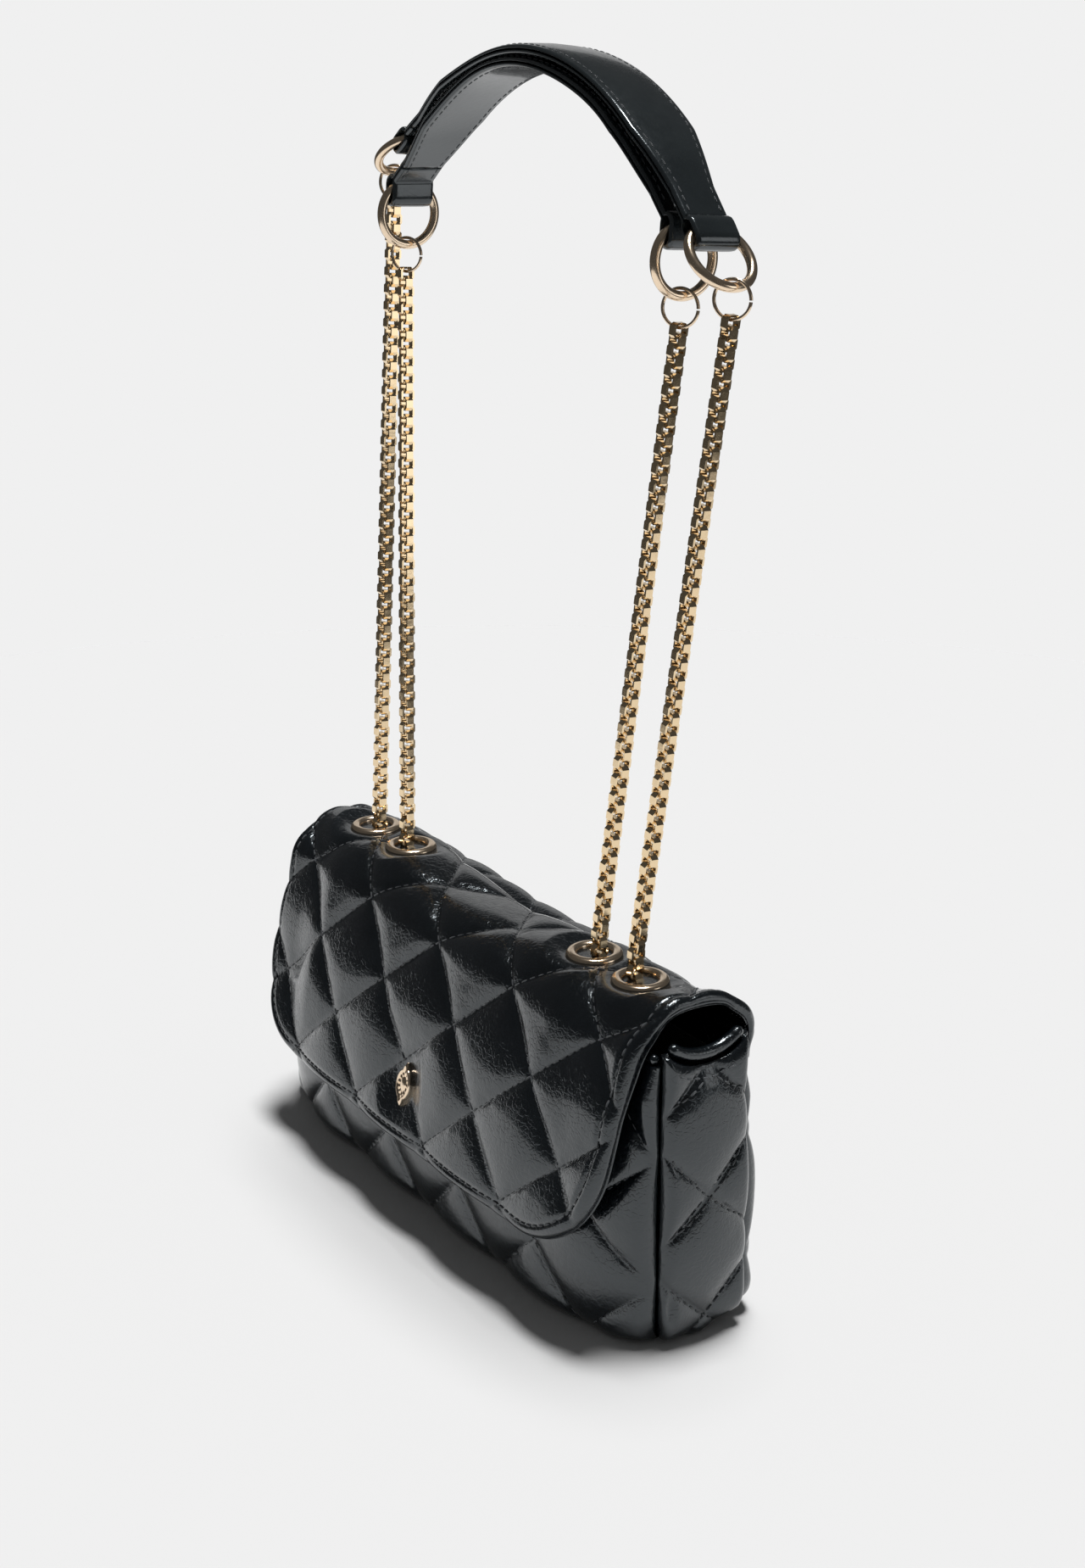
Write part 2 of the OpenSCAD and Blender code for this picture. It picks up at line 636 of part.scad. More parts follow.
module snap_socket() {
    color(metal) on_flap_front(snap_s, flap_total_thickness + glue_gap + stud_plate + glue_gap + socket_plate)
        difference() {
            cylinder(h = socket_plate, r = snap_diameter / 2, $fn = 48);
            translate([0, 0, socket_plate - stud_pin - socket_gap])
                cylinder(h = stud_pin + socket_gap + overrun, r = socket_hole_radius, $fn = 48);
        }
}

// Plain oval ornament with a raised rim and a lobe at each end
module oval(width, height) {
    straight = height - width;
    for (side = [-1, 1]) translate([0, side * straight / 2]) circle(d = width, $fn = 48);
    square([width, straight], center = true);
}

module ornament() {
    color(metal) on_flap_front(snap_s, -ornament_gap) {
        linear_extrude(ornament_thickness) {
            oval(ornament_width, ornament_height);
            for (side = [-1, 1]) translate([0, side * ornament_height / 2]) circle(r = ornament_lobe_radius, $fn = 32);
        }
        linear_extrude(ornament_thickness + ornament_relief) difference() {
            oval(ornament_width, ornament_height);
            oval(ornament_width - 2 * ornament_rim, ornament_height - 2 * ornament_rim);
        }
        linear_extrude(ornament_thickness + ornament_relief)
            oval(ornament_width - 5 * ornament_rim, ornament_height - 5 * ornament_rim);
    }
}

// Box chain. A link stands along z with its window looking along y, and every second link is turned
module chamfered(width, height, corner) {
    half = [width / 2, height / 2];
    polygon([
        [-half[0], corner - half[1]], [corner - half[0], -half[1]],
        [half[0] - corner, -half[1]], [half[0], corner - half[1]],
        [half[0], half[1] - corner], [half[0] - corner, half[1]],
        [corner - half[0], half[1]], [-half[0], half[1] - corner]
    ]);
}

module link(turned) {
    rotate(turned ? 90 : 0) difference() {
        rotate([90, 0, 0]) linear_extrude(link_depth, center = true) difference() {
            chamfered(link_width, link_height, link_corner);
            chamfered(link_width - 2 * link_strip, link_height - 2 * link_strip,
                link_corner - corner_share * link_strip);
        }
        for (side = [-1, 1])
            translate([0, side * (link_waist / 2 + waist_radius), 0])
                cylinder(h = link_height + 2 * overrun, r = waist_radius, center = true, $fn = 24);
    }
}

// Links of the chain that loops under the flap from one eyelet to the next
module chain_run(side) {
    middle = side * (outer_chain_x + inner_chain_x) / 2;
    top = fold_z - link_pitch / 2;
    for (i = [0 : run_links]) {
        s = i * link_pitch;
        turn = min(max((s - run_leg) / run_radius * 180 / PI, 0), 180);
        x = middle - run_radius * cos(turn);
        z = top - (turn <= 0 ? s : turn >= 180 ? run_links * link_pitch - s : run_leg) - run_radius * sin(turn);
        translate([x, -eyelet_y, z]) rotate([0, -turn, 0]) link(i % 2 == 1);
    }
}

module chain_run_left() { color(metal) chain_run(-1); }
module chain_run_right() { color(metal) chain_run(1); }

// Pair of links, one at each side, about which a handle folds over its eyelets
module fold_pair(n, chain_x) {
    pivot = fold_pivot(n - 1);
    color(metal) translate([0, pivot[0], pivot[1]]) rotate([-n * fold_step, 0, 0])
        for (side = [-1, 1]) translate([side * chain_x, 0, link_pitch / 2]) link(n % 2 == 1);
}

module outer_fold_links_1() { fold_pair(1, outer_chain_x); }
module outer_fold_links_2() { fold_pair(2, outer_chain_x); }
module outer_fold_links_3() { fold_pair(3, outer_chain_x); }
module inner_fold_links_1() { fold_pair(1, inner_chain_x); }
module inner_fold_links_2() { fold_pair(2, inner_chain_x); }
module inner_fold_links_3() { fold_pair(3, inner_chain_x); }

// The handles' own plane, which leans back from the top of the folding links
module handle_plane() {
    translate([0, strap_origin[0], strap_origin[1]]) rotate([-strap_lean, 0, 0]) children();
}

// Chain from a point in the handles' plane up to the wire of a jump ring
module strand(start_x, jump) {
    hook = jump - [0, jump_radius + link_hang];
    span = hook - [start_x, 0];
    distance = norm(span);
    count = 2 * round((distance / link_pitch + 0.5) / 2);
    pitch = distance / (count - 0.5);
    color(metal) handle_plane() translate([start_x, 0, 0]) rotate([0, atan2(span[0], span[1]), 0])
        for (i = [0 : count - 1]) translate([0, 0, (i + 0.5) * pitch]) link(i % 2 == 1);
}

module outer_chain_left() { strand(-outer_chain_x, hung_jump(outer_loop(-1), -outer_left_swing_angle)); }
module outer_chain_right() { strand(outer_chain_x, hung_jump(outer_loop(1), outer_right_swing_angle)); }
module inner_chain_left() { strand(-inner_chain_x, hung_jump(inner_loop(-1), 0)); }
module inner_chain_right() { strand(inner_chain_x, hung_jump(inner_loop(1), 0)); }

// End ring, hung from a pad's loop in the plane across the bag and swung outward
module end_ring(loop, swing) {
    middle = hung_ring(loop, swing);
    color(metal) handle_plane() translate([middle[0], 0, middle[1]]) rotate([0, 90 - swing, 0])
        rotate_extrude($fn = 96) translate([ring_radius, 0]) circle(d = ring_wire, $fn = 32);
}

module outer_ring_left() { end_ring(outer_loop(-1), -outer_left_swing_angle); }
module outer_ring_right() { end_ring(outer_loop(1), outer_right_swing_angle); }
module inner_ring_left() { end_ring(inner_loop(-1), 0); }
module inner_ring_right() { end_ring(inner_loop(1), 0); }

// Split jump ring, turned about the chain, its split at the side
module jump_ring(loop, swing, turn) {
    middle = hung_jump(loop, swing);
    split = jump_split / jump_radius * 180 / PI;
    color(metal) handle_plane() translate([middle[0], 0, middle[1]]) rotate([90, 0, turn])
        rotate(split / 2) rotate_extrude(angle = 360 - split, $fn = 72)
            translate([jump_radius, 0]) circle(d = jump_wire, $fn = 24);
}

module outer_jump_ring_left() { jump_ring(outer_loop(-1), -outer_left_swing_angle, outer_left_turn_angle); }
module outer_jump_ring_right() { jump_ring(outer_loop(1), outer_right_swing_angle, outer_right_turn_angle); }
module inner_jump_ring_left() { jump_ring(inner_loop(-1), 0, inner_left_turn_angle); }
module inner_jump_ring_right() { jump_ring(inner_loop(1), 0, inner_right_turn_angle); }

function arc_points(centre, radius, start, end, steps) =
    [for (i = [0 : steps]) let (a = start + (end - start) * i / steps) centre + radius * [cos(a), sin(a)]];

// Loop at the right end of a pad, round the end ring's wire and long enough for the ring's curve
function loop_points(arch, swing) =
    let (
        middle = loop_from_arch(arch, 1),
        hung = middle + loop_slot * [sin(swing), -cos(swing)],
        meet = asin(ply_thickness / loop_radius),
        back = 180 - arch[1]
    )
    concat(
        arc_points(middle, loop_radius, back - meet, swing, 6),
        arc_points(hung, loop_radius, swing, swing - 180, 12),
        arc_points(middle, loop_radius, swing + 180, back + meet, 3)
    );
function slot_points(arch, swing) =
    let (middle = loop_from_arch(arch, 1), hung = middle + loop_slot * [sin(swing), -cos(swing)])
    concat(arc_points(middle, loop_bore, swing + 180, swing, 12), arc_points(hung, loop_bore, swing, swing - 180, 12));
function mirrored(points) = [for (i = [len(points) - 1 : -1 : 0]) [-points[i][0], points[i][1]]];

// Plan of a pad, narrowed towards its loops
module pad_plan(reach) {
    wide = pad_width / 2;
    narrow = loop_width / 2;
    edge = [[reach * taper_start_share, wide], [reach * taper_end_share, narrow], [reach + 2 * loop_radius, narrow]];
    polygon(concat(
        edge,
        [for (i = [2 : -1 : 0]) [edge[i][0], -edge[i][1]]],
        [for (p = edge) [-p[0], -p[1]]],
        [for (i = [2 : -1 : 0]) [-edge[i][0], edge[i][1]]]
    ));
}

module pad_ply(arch, left_swing, right_swing) {
    radius = arch[0];
    reach = loop_from_arch(arch, 1)[0];
    start = 90 + arch[1];
    end = 90 - arch[1];
    fold_end = (radius - ply_thickness) * unit(arch[1]);
    outline = concat(
        arc_points([0, 0], radius + ply_thickness, start, end, arch_steps),
        loop_points(arch, right_swing),
        [fold_end],
        arc_points([0, 0], radius, end, start, arch_steps),
        mirrored([fold_end]),
        mirrored(loop_points(arch, -left_swing))
    );
    intersection() {
        rotate([90, 0, 0]) linear_extrude(pad_width, center = true) difference() {
            polygon(outline);
            polygon(slot_points(arch, right_swing));
            polygon(mirrored(slot_points(arch, -left_swing)));
        }
        linear_extrude(3 * radius) pad_plan(reach);
    }
}

module pad_lining(arch) {
    radius = arch[0];
    reach = loop_from_arch(arch, 1)[0];
    start = 90 + arch[1] * lining_angle_share;
    end = 90 - arch[1] * lining_angle_share;
    intersection() {
        rotate([90, 0, 0]) linear_extrude(pad_width, center = true) polygon(concat(
            arc_points([0, 0], radius - glue_gap, start, end, arch_steps),
            arc_points([0, 0], radius - ply_thickness, end, start, arch_steps)
        ));
        linear_extrude(3 * radius) pad_plan(reach);
    }
}

module outer_pad_place() {
    handle_plane() translate([pad_shift, 0, arch_centre]) rotate([0, pad_slip, 0]) children();
}

module inner_pad_place() {
    handle_plane() translate([0, 0, inner_arch_centre]) children();
}

module outer_pad() {
    color(leather) outer_pad_place()
        pad_ply(outer_arch, pad_slip - outer_left_swing_angle, pad_slip + outer_right_swing_angle);
}

module outer_pad_lining() {
    color(leather) outer_pad_place() pad_lining(outer_arch);
}

module inner_pad() {
    color(leather) inner_pad_place() pad_ply(inner_arch, 0, 0);
}

module inner_pad_lining() {
    color(leather) inner_pad_place() pad_lining(inner_arch);
}

front_panel();
back_panel();
base_panel();
gusset_left();
gusset_right();
front_hem();
back_hem();
gusset_hem_left();
gusset_hem_right();
lining();
base_board();
flap_tail();
snap_socket();
flap();
flap_lining();
flap_binding();
eyelet_1();
eyelet_2();
eyelet_3();
eyelet_4();
eyelet_washer_1();
eyelet_washer_2();
eyelet_washer_3();
eyelet_washer_4();
snap_stud();
ornament();
chain_run_left();
chain_run_right();
outer_fold_links_1();
outer_fold_links_2();
outer_fold_links_3();
inner_fold_links_1();
inner_fold_links_2();
inner_fold_links_3();
outer_chain_left();
outer_chain_right();
inner_chain_left();
inner_chain_right();
outer_ring_left();
outer_ring_right();
inner_ring_left();
inner_ring_right();
outer_jump_ring_left();
outer_jump_ring_right();
inner_jump_ring_left();
inner_jump_ring_right();
outer_pad();
outer_pad_lining();
inner_pad();
inner_pad_lining();
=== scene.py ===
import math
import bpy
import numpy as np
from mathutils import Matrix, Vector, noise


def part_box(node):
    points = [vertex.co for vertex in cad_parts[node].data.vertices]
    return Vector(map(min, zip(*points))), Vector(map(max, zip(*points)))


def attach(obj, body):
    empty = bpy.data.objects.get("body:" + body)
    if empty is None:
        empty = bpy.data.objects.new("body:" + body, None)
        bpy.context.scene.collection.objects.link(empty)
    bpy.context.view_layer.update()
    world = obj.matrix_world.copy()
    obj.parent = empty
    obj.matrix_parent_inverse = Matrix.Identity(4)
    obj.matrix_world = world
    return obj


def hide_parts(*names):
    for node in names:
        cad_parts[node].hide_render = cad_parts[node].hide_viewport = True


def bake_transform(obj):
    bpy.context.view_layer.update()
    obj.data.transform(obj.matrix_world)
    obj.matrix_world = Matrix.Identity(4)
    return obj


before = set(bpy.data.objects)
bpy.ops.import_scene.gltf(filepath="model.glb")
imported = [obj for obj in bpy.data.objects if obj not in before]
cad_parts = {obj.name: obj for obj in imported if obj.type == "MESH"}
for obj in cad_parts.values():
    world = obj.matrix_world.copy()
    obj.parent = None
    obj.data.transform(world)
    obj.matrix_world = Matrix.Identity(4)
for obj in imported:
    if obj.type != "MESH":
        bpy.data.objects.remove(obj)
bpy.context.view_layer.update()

# %% [markdown]
# # A quilted shoulder bag on box chains
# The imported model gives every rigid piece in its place: eyelets, chain links, rings, snap. The
# leather is soft, so each leather piece is remade here as a finely divided sheet, with the puffs,
# seams and creases that sewing and padding give it. Everything is in metres.

bpy.ops.object.select_all(action="DESELECT")
mm = 0.001

# %% [markdown]
# ## Camera, light and floor
# The camera stands at the right front corner and looks down along the bag. A soft sun nearly
# overhead lights the floor evenly and throws a short dark shadow forward, and the sky's light
# fades its border. The studio that the gloss mirrors is dark, so the black leather shows the pale
# floor in its lower curves and the dark in its upper ones. Two weak panels draw broad patches.

# %% Camera
camera_data = bpy.data.cameras.new("camera")
camera_data.lens = 54.96
camera_data.sensor_width = 36.0
camera_data.clip_start = 0.01
camera = bpy.data.objects.new("camera", camera_data)
camera.location = (0.6779, -0.4271, 0.4360)
camera.rotation_euler = (math.radians(90 - 19.04), 0.0, math.radians(56.81))
bpy.context.scene.collection.objects.link(camera)
bpy.context.scene.camera = camera

# %% View and world
bpy.context.scene.view_settings.view_transform = "Standard"
world = bpy.data.worlds.new("studio")
bpy.context.scene.world = world
world.use_nodes = True
tree = world.node_tree
tree.nodes.clear()
sky_out = tree.nodes.new("ShaderNodeOutputWorld")
sky_ray = tree.nodes.new("ShaderNodeLightPath")


def sky_layer(level):
    layer = tree.nodes.new("ShaderNodeBackground")
    layer.inputs["Color"].default_value = (level, level, level, 1)
    return layer.outputs["Background"]


def sky_choice(ray, otherwise, chosen):
    choice = tree.nodes.new("ShaderNodeMixShader")
    tree.links.new(sky_ray.outputs[ray], choice.inputs["Fac"])
    tree.links.new(otherwise, choice.inputs[1])
    tree.links.new(chosen, choice.inputs[2])
    return choice.outputs["Shader"]


paper_level = 0.8714
sky_light = sky_choice("Is Glossy Ray", sky_layer(0.09), sky_layer(0.06))
tree.links.new(sky_choice("Is Camera Ray", sky_light, sky_layer(paper_level)), sky_out.inputs["Surface"])


# %% Lamps
def area_lamp(name, place, aim, size, size_y, power):
    data = bpy.data.lights.new(name, "AREA")
    data.shape = "RECTANGLE"
    data.size = size
    data.size_y = size_y
    data.energy = power
    lamp = bpy.data.objects.new(name, data)
    lamp.location = place
    lamp.rotation_euler = (Vector(aim) - Vector(place)).to_track_quat("-Z", "Y").to_euler()
    lamp.visible_diffuse = False
    bpy.context.scene.collection.objects.link(lamp)
    return lamp


sun_data = bpy.data.lights.new("sun_lamp", "SUN")
sun_data.energy = 3.16
sun_data.angle = math.radians(15.0)
sun = bpy.data.objects.new("sun_lamp", sun_data)
sun.rotation_euler = Vector((-0.04, 0.11, 1.0)).to_track_quat("Z", "Y").to_euler()
bpy.context.scene.collection.objects.link(sun)
area_lamp("lamp_behind", (-1.5, 0.95, 0.55), (0.0, 0.0, 0.12), 1.3, 0.9, 1.6)
area_lamp("lamp_right", (1.35, 0.85, 0.42), (0.0, 0.0, 0.1), 0.55, 0.75, 1.6)

# %% Floor
bpy.ops.mesh.primitive_circle_add(vertices=128, radius=0.8, fill_type="NGON", location=(0, 0, -0.0004))
floor = bpy.context.object
floor.name = "studio_floor"
floor_paper = bpy.data.materials.new("studio_paper")
floor_paper.use_nodes = True
tree = floor_paper.node_tree
tree.nodes.clear()
paper_out = tree.nodes.new("ShaderNodeOutputMaterial")
paper_lit = tree.nodes.new("ShaderNodeBsdfDiffuse")
paper_lit.inputs["Color"].default_value = (0.8, 0.8, 0.8, 1)
tree.links.new(paper_lit.outputs[0], paper_out.inputs["Surface"])
floor.data.materials.append(floor_paper)

# %% [markdown]
# ## Finishes
# The leather is black with a slight blue cast, coated until it shines, and it has fine creases
# that break up each highlight. The metal is pale gold plating. Every pattern reads the piece's own
# Object coordinates, in metres, so its scale is the real one everywhere.


# %% A helper that starts a material and hands back its nodes
def new_finish(name):
    finish = bpy.data.materials.new(name)
    finish.use_nodes = True
    nodes = finish.node_tree.nodes
    links = finish.node_tree.links
    shader = nodes["Principled BSDF"]
    place = nodes.new("ShaderNodeTexCoord")
    return finish, nodes, links, shader, place.outputs["Object"]


def noise_node(nodes, links, place, scale, detail, rough=0.5, warp=0.0):
    texture = nodes.new("ShaderNodeTexNoise")
    texture.inputs["Scale"].default_value = scale
    texture.inputs["Detail"].default_value = detail
    texture.inputs["Roughness"].default_value = rough
    texture.inputs["Distortion"].default_value = warp
    links.new(place, texture.inputs["Vector"])
    return texture


def ramp_node(nodes, links, source, stops):
    ramp = nodes.new("ShaderNodeValToRGB")
    for i, (at, value) in enumerate(stops):
        stop = ramp.color_ramp.elements[i] if i < 2 else ramp.color_ramp.elements.new(at)
        stop.position = at
        stop.color = (*value, 1) if isinstance(value, tuple) else (value, value, value, 1)
    links.new(source, ramp.inputs["Fac"])
    return ramp.outputs["Color"]


def bump_node(nodes, links, height, strength, depth, normal=None):
    bump = nodes.new("ShaderNodeBump")
    bump.inputs["Strength"].default_value = strength
    bump.inputs["Distance"].default_value = depth
    links.new(height, bump.inputs["Height"])
    if normal is not None:
        links.new(normal, bump.inputs["Normal"])
    return bump.outputs["Normal"]


# %% Glossy leather, with fine grain over longer creases
def leather_finish(name, dark, light, rough_low, rough_high, crease, grain):
    finish, nodes, links, shader, place = new_finish(name)
    tone = noise_node(nodes, links, place, 60.0, 3.0)
    colour = ramp_node(nodes, links, tone.outputs["Fac"], [(0.35, dark), (0.7, light)])
    links.new(colour, shader.inputs["Base Color"])
    dull = noise_node(nodes, links, place, 420.0, 4.0)
    roughness = ramp_node(nodes, links, dull.outputs["Fac"], [(0.3, rough_low), (0.75, rough_high)])
    links.new(roughness, shader.inputs["Roughness"])
    lines = nodes.new("ShaderNodeTexVoronoi")
    lines.feature = "DISTANCE_TO_EDGE"
    lines.inputs["Scale"].default_value = 420.0
    warped = nodes.new("ShaderNodeVectorMath")
    warped.operation = "MULTIPLY_ADD"
    shift = noise_node(nodes, links, place, 240.0, 2.0)
    warped.inputs[1].default_value = (0.006, 0.006, 0.006)
    links.new(shift.outputs["Color"], warped.inputs[0])
    links.new(place, warped.inputs[2])
    links.new(warped.outputs[0], lines.inputs["Vector"])
    cracks = ramp_node(nodes, links, lines.outputs["Distance"], [(0.0, 0.0), (0.16, 1.0)])
    folds = noise_node(nodes, links, place, 360.0, 3.0, 0.5, 0.4)
    pores = noise_node(nodes, links, place, 1500.0, 2.0)
    normal = bump_node(nodes, links, folds.outputs["Fac"], crease, 0.0004)
    normal = bump_node(nodes, links, cracks, grain, 0.00012, normal)
    normal = bump_node(nodes, links, pores.outputs["Fac"], grain, 0.00008, normal)
    links.new(normal, shader.inputs["Normal"])
    shader.inputs["Coat Weight"].default_value = 0.5
    shader.inputs["Coat Roughness"].default_value = 0.08
    shader.inputs["Specular IOR Level"].default_value = 0.7
    shader.inputs["Specular Tint"].default_value = (0.86, 0.95, 1.0, 1.0)
    return finish


bag_leather = leather_finish(
    "bag_leather", (0.0025, 0.0040, 0.0055), (0.005, 0.0070, 0.009), 0.16, 0.27, 0.20, 0.4)
# The strap leather is lighter than the bag leather: its colour holds painted sheen, standing in for the soft
# grey reflection on the pads.
strap_leather = leather_finish(
    "strap_leather", (0.012, 0.016, 0.018), (0.017, 0.022, 0.024), 0.17, 0.24, 0.04, 0.12)


# %% Pale gold plating
def gold_finish(name, colour, rough):
    finish, nodes, links, shader, place = new_finish(name)
    tone = noise_node(nodes, links, place, 90.0, 2.0)
    deeper = tuple(c * 0.93 for c in colour)
    shade = ramp_node(nodes, links, tone.outputs["Fac"], [(0.3, deeper), (0.7, colour)])
    links.new(shade, shader.inputs["Base Color"])
    dull = noise_node(nodes, links, place, 300.0, 3.0)
    roughness = ramp_node(nodes, links, dull.outputs["Fac"], [(0.3, rough), (0.8, rough + 0.08)])
    links.new(roughness, shader.inputs["Roughness"])
    ripple = noise_node(nodes, links, place, 700.0, 1.0)
    links.new(bump_node(nodes, links, ripple.outputs["Fac"], 0.15, 0.00005), shader.inputs["Normal"])
    shader.inputs["Metallic"].default_value = 1.0
    return finish


ring_gold = gold_finish("ring_gold", (0.96, 0.77, 0.57), 0.17)
chain_gold = gold_finish("chain_gold", (0.92, 0.72, 0.46), 0.10)


# %% Woven lining cloth, board and thread
def cloth_finish(name, dark, light, scale):
    finish, nodes, links, shader, place = new_finish(name)
    across = nodes.new("ShaderNodeTexWave")
    across.inputs["Scale"].default_value = scale
    across.bands_direction = "X"
    links.new(place, across.inputs["Vector"])
    along = nodes.new("ShaderNodeTexWave")
    along.inputs["Scale"].default_value = scale
    along.bands_direction = "Z"
    links.new(place, along.inputs["Vector"])
    weave = nodes.new("ShaderNodeMath")
    weave.operation = "MAXIMUM"
    links.new(across.outputs["Fac"], weave.inputs[0])
    links.new(along.outputs["Fac"], weave.inputs[1])
    colour = ramp_node(nodes, links, weave.outputs[0], [(0.2, dark), (0.9, light)])
    links.new(colour, shader.inputs["Base Color"])
    links.new(bump_node(nodes, links, weave.outputs[0], 0.5, 0.0002), shader.inputs["Normal"])
    shader.inputs["Roughness"].default_value = 0.8
    shader.inputs["Sheen Weight"].default_value = 0.25
    return finish


lining_cloth = cloth_finish("lining_cloth", (0.012, 0.013, 0.015), (0.035, 0.037, 0.042), 900.0)
thread_finish = cloth_finish("black_thread", (0.02, 0.023, 0.026), (0.09, 0.10, 0.11), 2600.0)
thread_finish.node_tree.nodes["Principled BSDF"].inputs["Roughness"].default_value = 0.3
base_board_finish = cloth_finish("grey_board", (0.2, 0.17, 0.12), (0.28, 0.24, 0.18), 160.0)
print("finishes", [m.name for m in bpy.data.materials])

# %% [markdown]
# ## How a leather sheet is made
# A grid is added and its points are laid on the piece's real surface. Each point is then lifted by
# the padding: full in the middle of a diamond, and nothing on a seam. Its border, turned straight back,
# shows the leather's thickness. The seams run in two slanted families, so the height is a product of two
# profiles.


# %% Padding profile and slow random waves
def pillow(share):
    """Height across one puff, 0 on its seam and 1 from about its middle."""
    t = np.clip(share * 1.5, 0.0, 1.0)
    return 0.6 * (1.0 - (1.0 - t) ** 3.0) ** 0.6 + 0.4 * np.sin(np.pi / 2 * np.clip(share, 0.0, 1.0))


def smooth(share):
    """0 up to share 0, 1 from share 1, and a smooth step between."""
    t = np.clip(share, 0.0, 1.0)
    return t * t * (3.0 - 2.0 * t)


def turn_in(distance, radius):
    """How far a sheet turns in near its border, as a quarter circle of that radius."""
    d = np.clip(distance / radius, 0, 1)
    return radius * (1 - np.sqrt(np.clip(1 - (1 - d) ** 2, 0, 1)))


def seam_shares(a, b):
    """How far a place is from the seams of both families, each 0 on a seam and 1 midway."""
    one = 1.0 - np.abs(2.0 * ((a + b) % 1.0) - 1.0)
    two = 1.0 - np.abs(2.0 * ((a - b) % 1.0) - 1.0)
    return one, two


def waves(p, scale, seed):
    """Smooth noise from -1 to 1 at the points p, its features scale metres apart."""
    k = 1.0 / scale
    away = Vector((seed * 7.31, seed * 3.17, seed * 5.73))
    return np.array([noise.noise(Vector(q) * k + away) for q in p])


def quilting(points, a, b, puff, edge, seed):
    """Height of the padding. a and b count diamonds across and along, edge is metres to the border."""
    one, two = seam_shares(a, b)
    border = pillow(edge / 0.007)
    height = puff * pillow(one) * pillow(two) * border
    height *= 1.0 + 0.16 * waves(points, 0.035, seed)
    near = np.exp(-np.minimum(one, two) / 0.22)
    pucker = waves(points, 0.0052, seed + 1) * near * (np.minimum(one, two) > 0.04)
    sag = waves(points, 0.016, seed + 2)
    return height + border * (0.00022 * pucker + 0.00020 * sag)


# %% Grid laid on a surface
def leather_sheet(name, columns, rows, surface, thickness, finish, crowd=0.0):
    """surface(u, v) gives points and the direction of the face, for u and v from 0 to 1.
    crowd above 0 moves columns towards the two sides, where the sheet turns over."""
    bpy.ops.object.select_all(action="DESELECT")
    bpy.ops.mesh.primitive_grid_add(x_subdivisions=columns, y_subdivisions=rows, size=1)
    piece = bpy.context.object
    piece.name = name
    mesh = piece.data
    co = np.empty(len(mesh.vertices) * 3)
    mesh.vertices.foreach_get("co", co)
    co = co.reshape(-1, 3)
    u = co[:, 0] + crowd * np.sin(2 * np.pi * co[:, 0]) / (2 * np.pi) + 0.5
    points, facing = surface(u, co[:, 1] + 0.5)
    mesh.vertices.foreach_set("co", points.ravel())
    mesh.update()
    if facing is not None and (np.array([v.normal for v in mesh.vertices]) * facing).sum() < 0:
        mesh.flip_normals()
    mesh.shade_smooth()
    mesh.materials.append(finish)
    if thickness:
        turn_edge_in(piece, thickness)
    return piece


def turn_edge_in(piece, depth):
    """Extrudes the sheet's border straight back, so that its edge shows the leather's thickness."""
    before = len(piece.data.vertices)
    facing = {tuple(np.round(v.co, 7)): v.normal.copy() for v in piece.data.vertices}
    bpy.ops.object.mode_set(mode="EDIT")
    bpy.ops.mesh.select_mode(type="EDGE")
    bpy.ops.mesh.select_all(action="DESELECT")
    bpy.ops.mesh.select_non_manifold()
    bpy.ops.mesh.extrude_edges_move()
    bpy.ops.object.mode_set(mode="OBJECT")
    for v in piece.data.vertices[before:]:
        v.co -= facing[tuple(np.round(v.co, 7))] * depth
        v.co.z = max(v.co.z, 0.0)


def stack(*parts):
    return np.stack([np.broadcast_to(p, np.shape(parts[0])) for p in parts], axis=-1)


def close_up(apart=0.00002, fill=True):
    """Joins the active rolled grid along its seam, fills its ends and turns its faces outward."""
    bpy.ops.object.mode_set(mode="EDIT")
    bpy.ops.mesh.select_all(action="SELECT")
    bpy.ops.mesh.remove_doubles(threshold=apart)
    if fill:
        bpy.ops.mesh.select_all(action="DESELECT")
        bpy.ops.mesh.select_non_manifold()
        bpy.ops.mesh.fill_holes(sides=0)
        bpy.ops.mesh.select_all(action="SELECT")
    bpy.ops.mesh.normals_make_consistent(inside=False)
    bpy.ops.object.mode_set(mode="OBJECT")


def run_lengths(points):
    """Length walked along a path up to each of its points."""
    return np.concatenate([[0.0], np.cumsum(np.linalg.norm(np.diff(points, axis=0), axis=1))])


def kept_runs(keep):
    """Unbroken runs of more than 6 places that are kept, as indices."""
    for part in np.split(np.arange(len(keep)), np.where(np.diff(keep.astype(int)) != 0)[0] + 1):
        if len(part) > 6 and keep[part[0]]:
            yield part


# %% [markdown]
# ## Thread
# One stitch is a short round thread with tapered ends. It is shaped once and copied along every
# seam, each copy turned to lie along the seam and pressed slightly into the leather.

# %% One stitch, as a small stretched ball
bpy.ops.mesh.primitive_uv_sphere_add(segments=6, ring_count=4, radius=1.0)
one_stitch = bpy.context.object
stitch_points = np.array([v.co for v in one_stitch.data.vertices])
stitch_faces = [tuple(f.vertices) for f in one_stitch.data.polygons]
bpy.data.objects.remove(one_stitch)
# a flatter nose and tail make it a thread and not a bead
stitch_points[:, 2] = np.sign(stitch_points[:, 2]) * np.abs(stitch_points[:, 2]) ** 0.6


